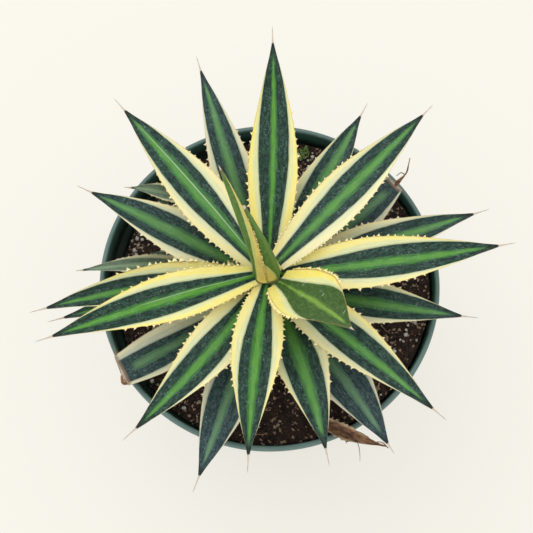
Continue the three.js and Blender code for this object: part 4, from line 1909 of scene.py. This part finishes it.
@dataclass
class Mix:
    """The potting mix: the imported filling, a crumbly crust on it, and loose bits.

    The loose bits are crumbs, bark chips, mineral grains and threads. Each gathered patch of grains has
    the X and Y of its middle and its spread in millimetres, and how many grains are tried.
    """

    crust_rows: int = 96
    crust_columns: int = 330
    inner_radius: float = 14 * MM
    outer_radius: float = 101.6 * MM
    rise: float = 0.9 * MM
    crumbs: int = 4200
    chips: int = 2600
    grains: int = 150
    threads: int = 70
    gathered: tuple[tuple[float, float, float, int], ...] = (
        (-89, 36, 10, 44),
        (-92, 20, 8, 24),
        (-82, 50, 8, 20),
        (-74, 66, 8, 14),
        (24, 93, 9, 10),
        (52, 84, 6, 8),
        (86, -34, 8, 8),
        (60, -82, 9, 10),
        (-60, -76, 9, 8),
    )
    seed: int = 9
    random: np.random.Generator = field(init=False)
    ground: Ground = field(init=False)

    def __post_init__(self) -> None:
        """Seed the mix's own random numbers and read the ground."""
        self.random = np.random.default_rng(self.seed)
        self.ground = Ground()

    def build(self) -> list[bpy.types.Object]:
        """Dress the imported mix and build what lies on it.

        Returns:
            The mix's objects.
        """
        peat = CrumbFinish("peat_finish", "potting_mix", 0.92)
        bark = CrumbFinish(
            "bark_finish",
            "potting_mix",
            0.85,
            dark=shade(40, 25, 18),
            light=shade(112, 72, 50),
            fleck=shade(176, 140, 108),
            size=700,
        )
        stone = CrumbFinish(
            "perlite_finish",
            "potting_mix",
            0.85,
            dark=shade(196, 190, 180),
            light=shade(246, 243, 236),
            fleck=shade(150, 136, 120),
            flecks=0.05,
            size=1100,
            relief=0.0005,
        )
        made = [peat.dress(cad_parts["potting_mix"])]
        pieces = (
            (self.crust(), "mix_crust", peat),
            (self.scatter(self.crumbs, (0.5, 1.3), (0.85, 0.75)), "mix_crumbs", peat),
            (self.scatter(self.chips, (0.35, 1.15), (0.55, 0.4)), "mix_chips", bark),
            (self.stones(), "mix_grains", stone),
        )
        for surface, name, finish in pieces:
            piece = finish.dress(surface.make(name))
            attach(piece, "root")
            made.append(piece)
            LOG.info("%s: %d points", name, surface.count)
        dark, light = shade(112, 74, 50), shade(186, 148, 112)
        strands = FibreFinish("strand_finish", "potting_mix", 0.8, dark, light)
        piece = strands.dress(self.strands().make("mix_threads"))
        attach(piece, "root")
        made.append(piece)
        return made

    def crust(self) -> Surface:
        """Gather the crust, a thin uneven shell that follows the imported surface.

        Returns:
            The crust.
        """
        surface = Surface()
        rows, columns = self.crust_rows, self.crust_columns
        angles = np.arange(columns) * math.tau / columns
        brims = [self.brim(angle) for angle in angles]
        top, under = [], []
        for share in np.linspace(0, 1, rows):
            for angle, brim in zip(angles, brims, strict=True):
                radius = self.inner_radius + share * (brim - self.inner_radius)
                x, y = radius * math.cos(angle), radius * math.sin(angle)
                level = self.ground.height(x, y)
                place = Vector((x, y, 0)) * 1000
                lumps = 1 - noise.voronoi(place / 2.6)[0][0] * 1.4
                swell = noise.noise(place / 7) * 0.9 + noise.noise(place / 1.3) * 0.5
                top.append([x, y, level + self.rise * (0.55 + 0.5 * lumps + 0.45 * swell)])
                under.append([x, y, level - 1 * MM])
        points = np.array(top + under)
        lower = rows * columns
        faces = []
        for row in range(rows - 1):
            for column in range(columns):
                after = (column + 1) % columns
                low, high = row * columns, (row + 1) * columns
                face = [low + column, high + column, high + after, low + after]
                faces.append(face)
                faces.append([lower + face[0], lower + face[3], lower + face[2], lower + face[1]])
        last = (rows - 1) * columns
        for column in range(columns):
            after = (column + 1) % columns
            faces.append([column, after, lower + after, lower + column])
            faces.append([last + after, last + column, lower + last + column, lower + last + after])
        surface.add(points, faces)
        return surface

    def brim(self, angle: float) -> float:
        """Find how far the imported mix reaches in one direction.

        Args:
            angle: The direction, in radians.

        Returns:
            A radius a little inside the mix's edge.
        """
        near, far = self.inner_radius, self.outer_radius
        for _ in range(14):
            middle = (near + far) / 2
            if self.ground.height(middle * math.cos(angle), middle * math.sin(angle)) is None:
                far = middle
            else:
                near = middle
        return near - 0.2 * MM

    def holds(self, x: float, y: float, size: float) -> bool:
        """Tell whether a loose piece can lie at a place.

        Args:
            x: The place's X.
            y: The place's Y.
            size: The piece's half length.

        Returns:
            Whether the mix reaches past the piece and nothing stands in its way.
        """
        outward = 1 + (size + 0.4 * MM) / math.hypot(x, y)
        level = self.ground.height(x, y)
        if level is None or self.ground.height(x * outward, y * outward) is None:
            return False
        return self.ground.room(np.array([x, y, level]), size + 0.6 * MM)

    def spot(self) -> tuple[float, float]:
        """Choose a place on the mix at random.

        Returns:
            Its X and Y.
        """
        radius = math.sqrt(self.random.uniform(0.035, 1)) * (self.outer_radius - 1.5 * MM)
        angle = self.random.uniform(0, math.tau)
        return radius * math.cos(angle), radius * math.sin(angle)

    def scatter(self, count: int, reach: tuple[float, float], flatness: tuple[float, float]) -> Surface:
        """Gather loose crumbs or chips.

        Args:
            count: How many are tried.
            reach: Smallest and largest half length, in millimetres.
            flatness: Width and height as shares of the length.

        Returns:
            The pieces.
        """
        surface = Surface()
        for _ in range(count):
            x, y = self.spot()
            size = self.random.uniform(*reach) * MM
            if not self.holds(x, y, size):
                continue
            level = self.ground.height(x, y)
            sizes = np.array([1, flatness[0], flatness[1]]) * size
            middle = np.array([x, y, level + self.rise * 0.9 + sizes[2] * 0.5])
            surface.lump(middle, sizes, self.random, fine=False)
        return surface

    def stones(self) -> Surface:
        """Gather the mineral grains, some strewn and some where watering has gathered them.

        Returns:
            The grains.
        """
        surface = Surface()
        places = [self.spot() for _ in range(self.grains)]
        for x, y, spread, count in self.gathered:
            middle = (x * MM, y * MM)
            places += [tuple(self.random.normal(middle, spread * MM / 2)) for _ in range(count)]
        for x, y in places:
            size = (0.35 + 1.25 * self.random.uniform() ** 1.6) * MM
            if not self.holds(x, y, size):
                continue
            level = self.ground.height(x, y)
            sizes = self.random.uniform(0.75, 1.1, 3) * size
            middle = np.array([x, y, level + self.rise + size * 0.4])
            surface.lump(middle, sizes, self.random, fine=True)
        return surface

    def strands(self) -> Surface:
        """Gather the thin threads of root and fibre that lie on the mix.

        Returns:
            The threads.
        """
        surface = Surface()
        for number in range(self.threads):
            x, y = self.spot()
            heading = self.random.uniform(0, math.tau)
            line = []
            for _ in range(5):
                if not self.holds(x, y, 1.2 * MM):
                    break
                level = self.ground.height(x, y)
                line.append([x, y, level + self.rise * 1.5 + self.random.uniform(0, 0.8) * MM])
                heading += self.random.uniform(-0.7, 0.7)
                x += math.cos(heading) * 2.6 * MM
                y += math.sin(heading) * 2.6 * MM
            clear = [self.ground.room(np.array(place), 1.2 * MM) for place in line]
            if len(line) > 3 and all(clear):
                surface.strap(np.array(line), np.full(len(line), 0.5 * MM), 0.4 * MM, 2, number)
        return surface


@dataclass(frozen=True)
class Curl:
    """One dried curl or thread: its line in millimetres, its width and how far it turns."""

    line: tuple[tuple[float, float, float], ...]
    width: float
    turns: float = 1.5
    end: float = 0.3


@dataclass
class Dried:
    """The dead leaf on the mix, its threads, and the dried ends of the oldest leaves."""

    dead: str = "dead_leaf"
    curls: tuple[Curl, ...] = (
        Curl(
            ((80, 61, 169.5), (84, 64, 172), (87.4, 67, 176), (88.4, 70.6, 181), (88.8, 73, 185)),
            4.2, 2.2, 0.35,
        ),
        Curl(
            ((81, 63.5, 170.5), (84.5, 63.5, 174), (86.4, 66, 174.5), (84.4, 68.6, 172.5), (81.6, 67, 171)),
            1.3,
        ),
        Curl(
            ((60.5, -82, 171.5), (62.6, -78.5, 174), (64.4, -74.5, 176.5), (65.6, -70.5, 179.5)),
            3.2, 2.6,
        ),
        Curl(
            ((-84, -63.5, 168.5), (-86.6, -66.5, 167), (-89.6, -66.6, 165), (-91, -63.4, 164)),
            5.0, 1.2, 0.6,
        ),
        Curl(
            ((-88.6, -52.5, 169.5), (-92, -50.6, 169.6), (-94.6, -48.6, 168.4), (-95.4, -45.6, 167)),
            3.4, 1.8,
        ),
        Curl(
            ((45, -93, 160), (50.6, -99, 164), (53.6, -104.6, 160.5), (55, -110, 153), (55.4, -112.4, 147)),
            0.8, 3,
        ),
        Curl(
            ((36, -89, 154.5), (42, -90.6, 158), (47.6, -96.6, 161.5), (53, -97.4, 166), (59.4, -101, 167)),
            1.5, 3,
        ),
        Curl(
            ((58, -101, 165), (62.6, -103.8, 167.5), (67, -104.4, 169.5), (70.4, -108, 171)),
            2.2, 2.2,
        ),
        Curl(
            ((30, -85.4, 153.5), (35.4, -86.6, 156.5), (40.4, -90.4, 158.6), (44, -95.4, 158)),
            2.2, 2.4,
        ),
    )


    def build(self) -> list[bpy.types.Object]:
        """Build the dead leaf and the curls.

        Returns:
            The dried objects.
        """
        finish = FibreFinish("dead_leaf_finish", "dead_leaf", 0.8)
        blade = Blade(self.dead, finish, seed=77, stations=90, tooth_gap=4 * MM, tooth_length=1 * MM)
        blade.ripple = 1.1 * MM
        blade.scallop = 0.9 * MM
        made = [blade.build()]
        surface = Surface()
        for number, curl in enumerate(self.curls):
            line = np.array(curl.line) * MM
            widths = np.linspace(curl.width, curl.width * curl.end, len(line)) * MM
            surface.strap(line, widths, 0.6 * MM, curl.turns, number)
        dark, light = shade(78, 52, 38), shade(186, 140, 104)
        brown = FibreFinish("dried_finish", "dead_leaf", 0.8, dark, light, rim_share=0.25)
        piece = brown.dress(surface.make("dried_curls"))
        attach(piece, "root")
        made.append(piece)
        LOG.info("dried leaf and %d curls", len(self.curls))
        return made


@dataclass
class Weeds:
    """A tiny seedling and a tuft of moss on the mix by the far rim."""

    x: float = 22.6 * MM
    y: float = 91.5 * MM
    blades: int = 34
    seed: int = 5

    def build(self) -> bpy.types.Object:
        """Build the tuft.

        Returns:
            The tuft's object.
        """
        random = np.random.default_rng(self.seed)
        ground = Ground()
        surface = Surface()
        for number in range(self.blades):
            x, y = random.normal((self.x, self.y), 2.4 * MM)
            level = ground.height(x, y)
            if level is None:
                continue
            heading = random.uniform(0, math.tau)
            long = random.uniform(1.6, 4.2) * MM
            out = np.array([math.cos(heading), math.sin(heading), 0]) * long
            foot = np.array([x, y, level + 0.3 * MM])
            line = np.array([foot, foot + out * 0.35 + [0, 0, long * 0.6], foot + out + [0, 0, long * 0.8]])
            surface.strap(line, np.array([0.7, 1.5, 0.5]) * MM, 0.3 * MM, 0.4, number)
        dark, light = shade(62, 92, 40), shade(122, 152, 72)
        finish = FibreFinish("weed_finish", "potting_mix", 0.6, dark, light, rim_share=0.0)
        piece = finish.dress(surface.make("seedling_tuft"))
        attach(piece, "root")
        LOG.info("seedling tuft: %d points", surface.count)
        return piece


@dataclass
class Studio:
    """A plain pale floor, soft light and the camera."""

    camera_place: tuple[float, float, float] = (-0.00198, -0.21466, 0.8443)
    camera_tilt: float = 18.12
    lens: float = 76.37
    floor_half: float = 24.0
    key_power: float = 4.6
    key_size: float = 1.3
    key_place: tuple[float, float, float] = (-0.55, 0.45, 1.5)
    sky: float = 1.01

    def build(self) -> None:
        """Make the floor, the lights and the camera."""
        self.make_floor()
        self.make_lights()
        self.make_camera()
        LOG.info("studio ready")

    def make_floor(self) -> None:
        """Make the floor as one flat sheet under the pot."""
        surface = Surface()
        half = self.floor_half
        corners = np.array([[-half, -half, 0], [half, -half, 0], [half, half, 0], [-half, half, 0]])
        surface.add(corners, [[0, 1, 2, 3]])
        floor = surface.make("floor")
        floor.data.materials.append(PaperFinish("floor_finish", "floor", 0.9).material())

    def make_lights(self) -> None:
        """Make the sky and one broad soft lamp from the upper left."""
        world = bpy.data.worlds.new("studio_sky")
        world.use_nodes = True
        background = world.node_tree.nodes["Background"]
        background.inputs["Color"].default_value = (1.0, 0.99, 0.97, 1)
        background.inputs["Strength"].default_value = self.sky
        bpy.context.scene.world = world
        lamp = bpy.data.lights.new("key", "AREA")
        lamp.shape = "DISK"
        lamp.size = self.key_size
        lamp.energy = self.key_power
        key = bpy.data.objects.new("key", lamp)
        key.location = self.key_place
        aim = Vector((0, 0, 0.1)) - key.location
        key.rotation_mode = "QUATERNION"
        key.rotation_quaternion = aim.to_track_quat("-Z", "Y")
        bpy.context.scene.collection.objects.link(key)
        bpy.context.scene.view_settings.view_transform = "Standard"

    def make_camera(self) -> None:
        """Make the camera, high above the plant and tilted a little towards it."""
        data = bpy.data.cameras.new("camera")
        data.sensor_width = 36
        data.lens = self.lens
        camera = bpy.data.objects.new("camera", data)
        camera.location = self.camera_place
        camera.rotation_euler = (math.radians(self.camera_tilt), 0, 0)
        bpy.context.scene.collection.objects.link(camera)
        bpy.context.scene.camera = camera


def main() -> None:
    """Build every sub-assembly in order and report it."""
    logging.basicConfig(level=logging.INFO, format="%(message)s")
    for builder in (Studio(), Pot(), Mix(), Stem(), Rosette(), Spear(), Offsets(), Dried(), Weeds()):
        builder.build()


if __name__ == "__main__":
    main()
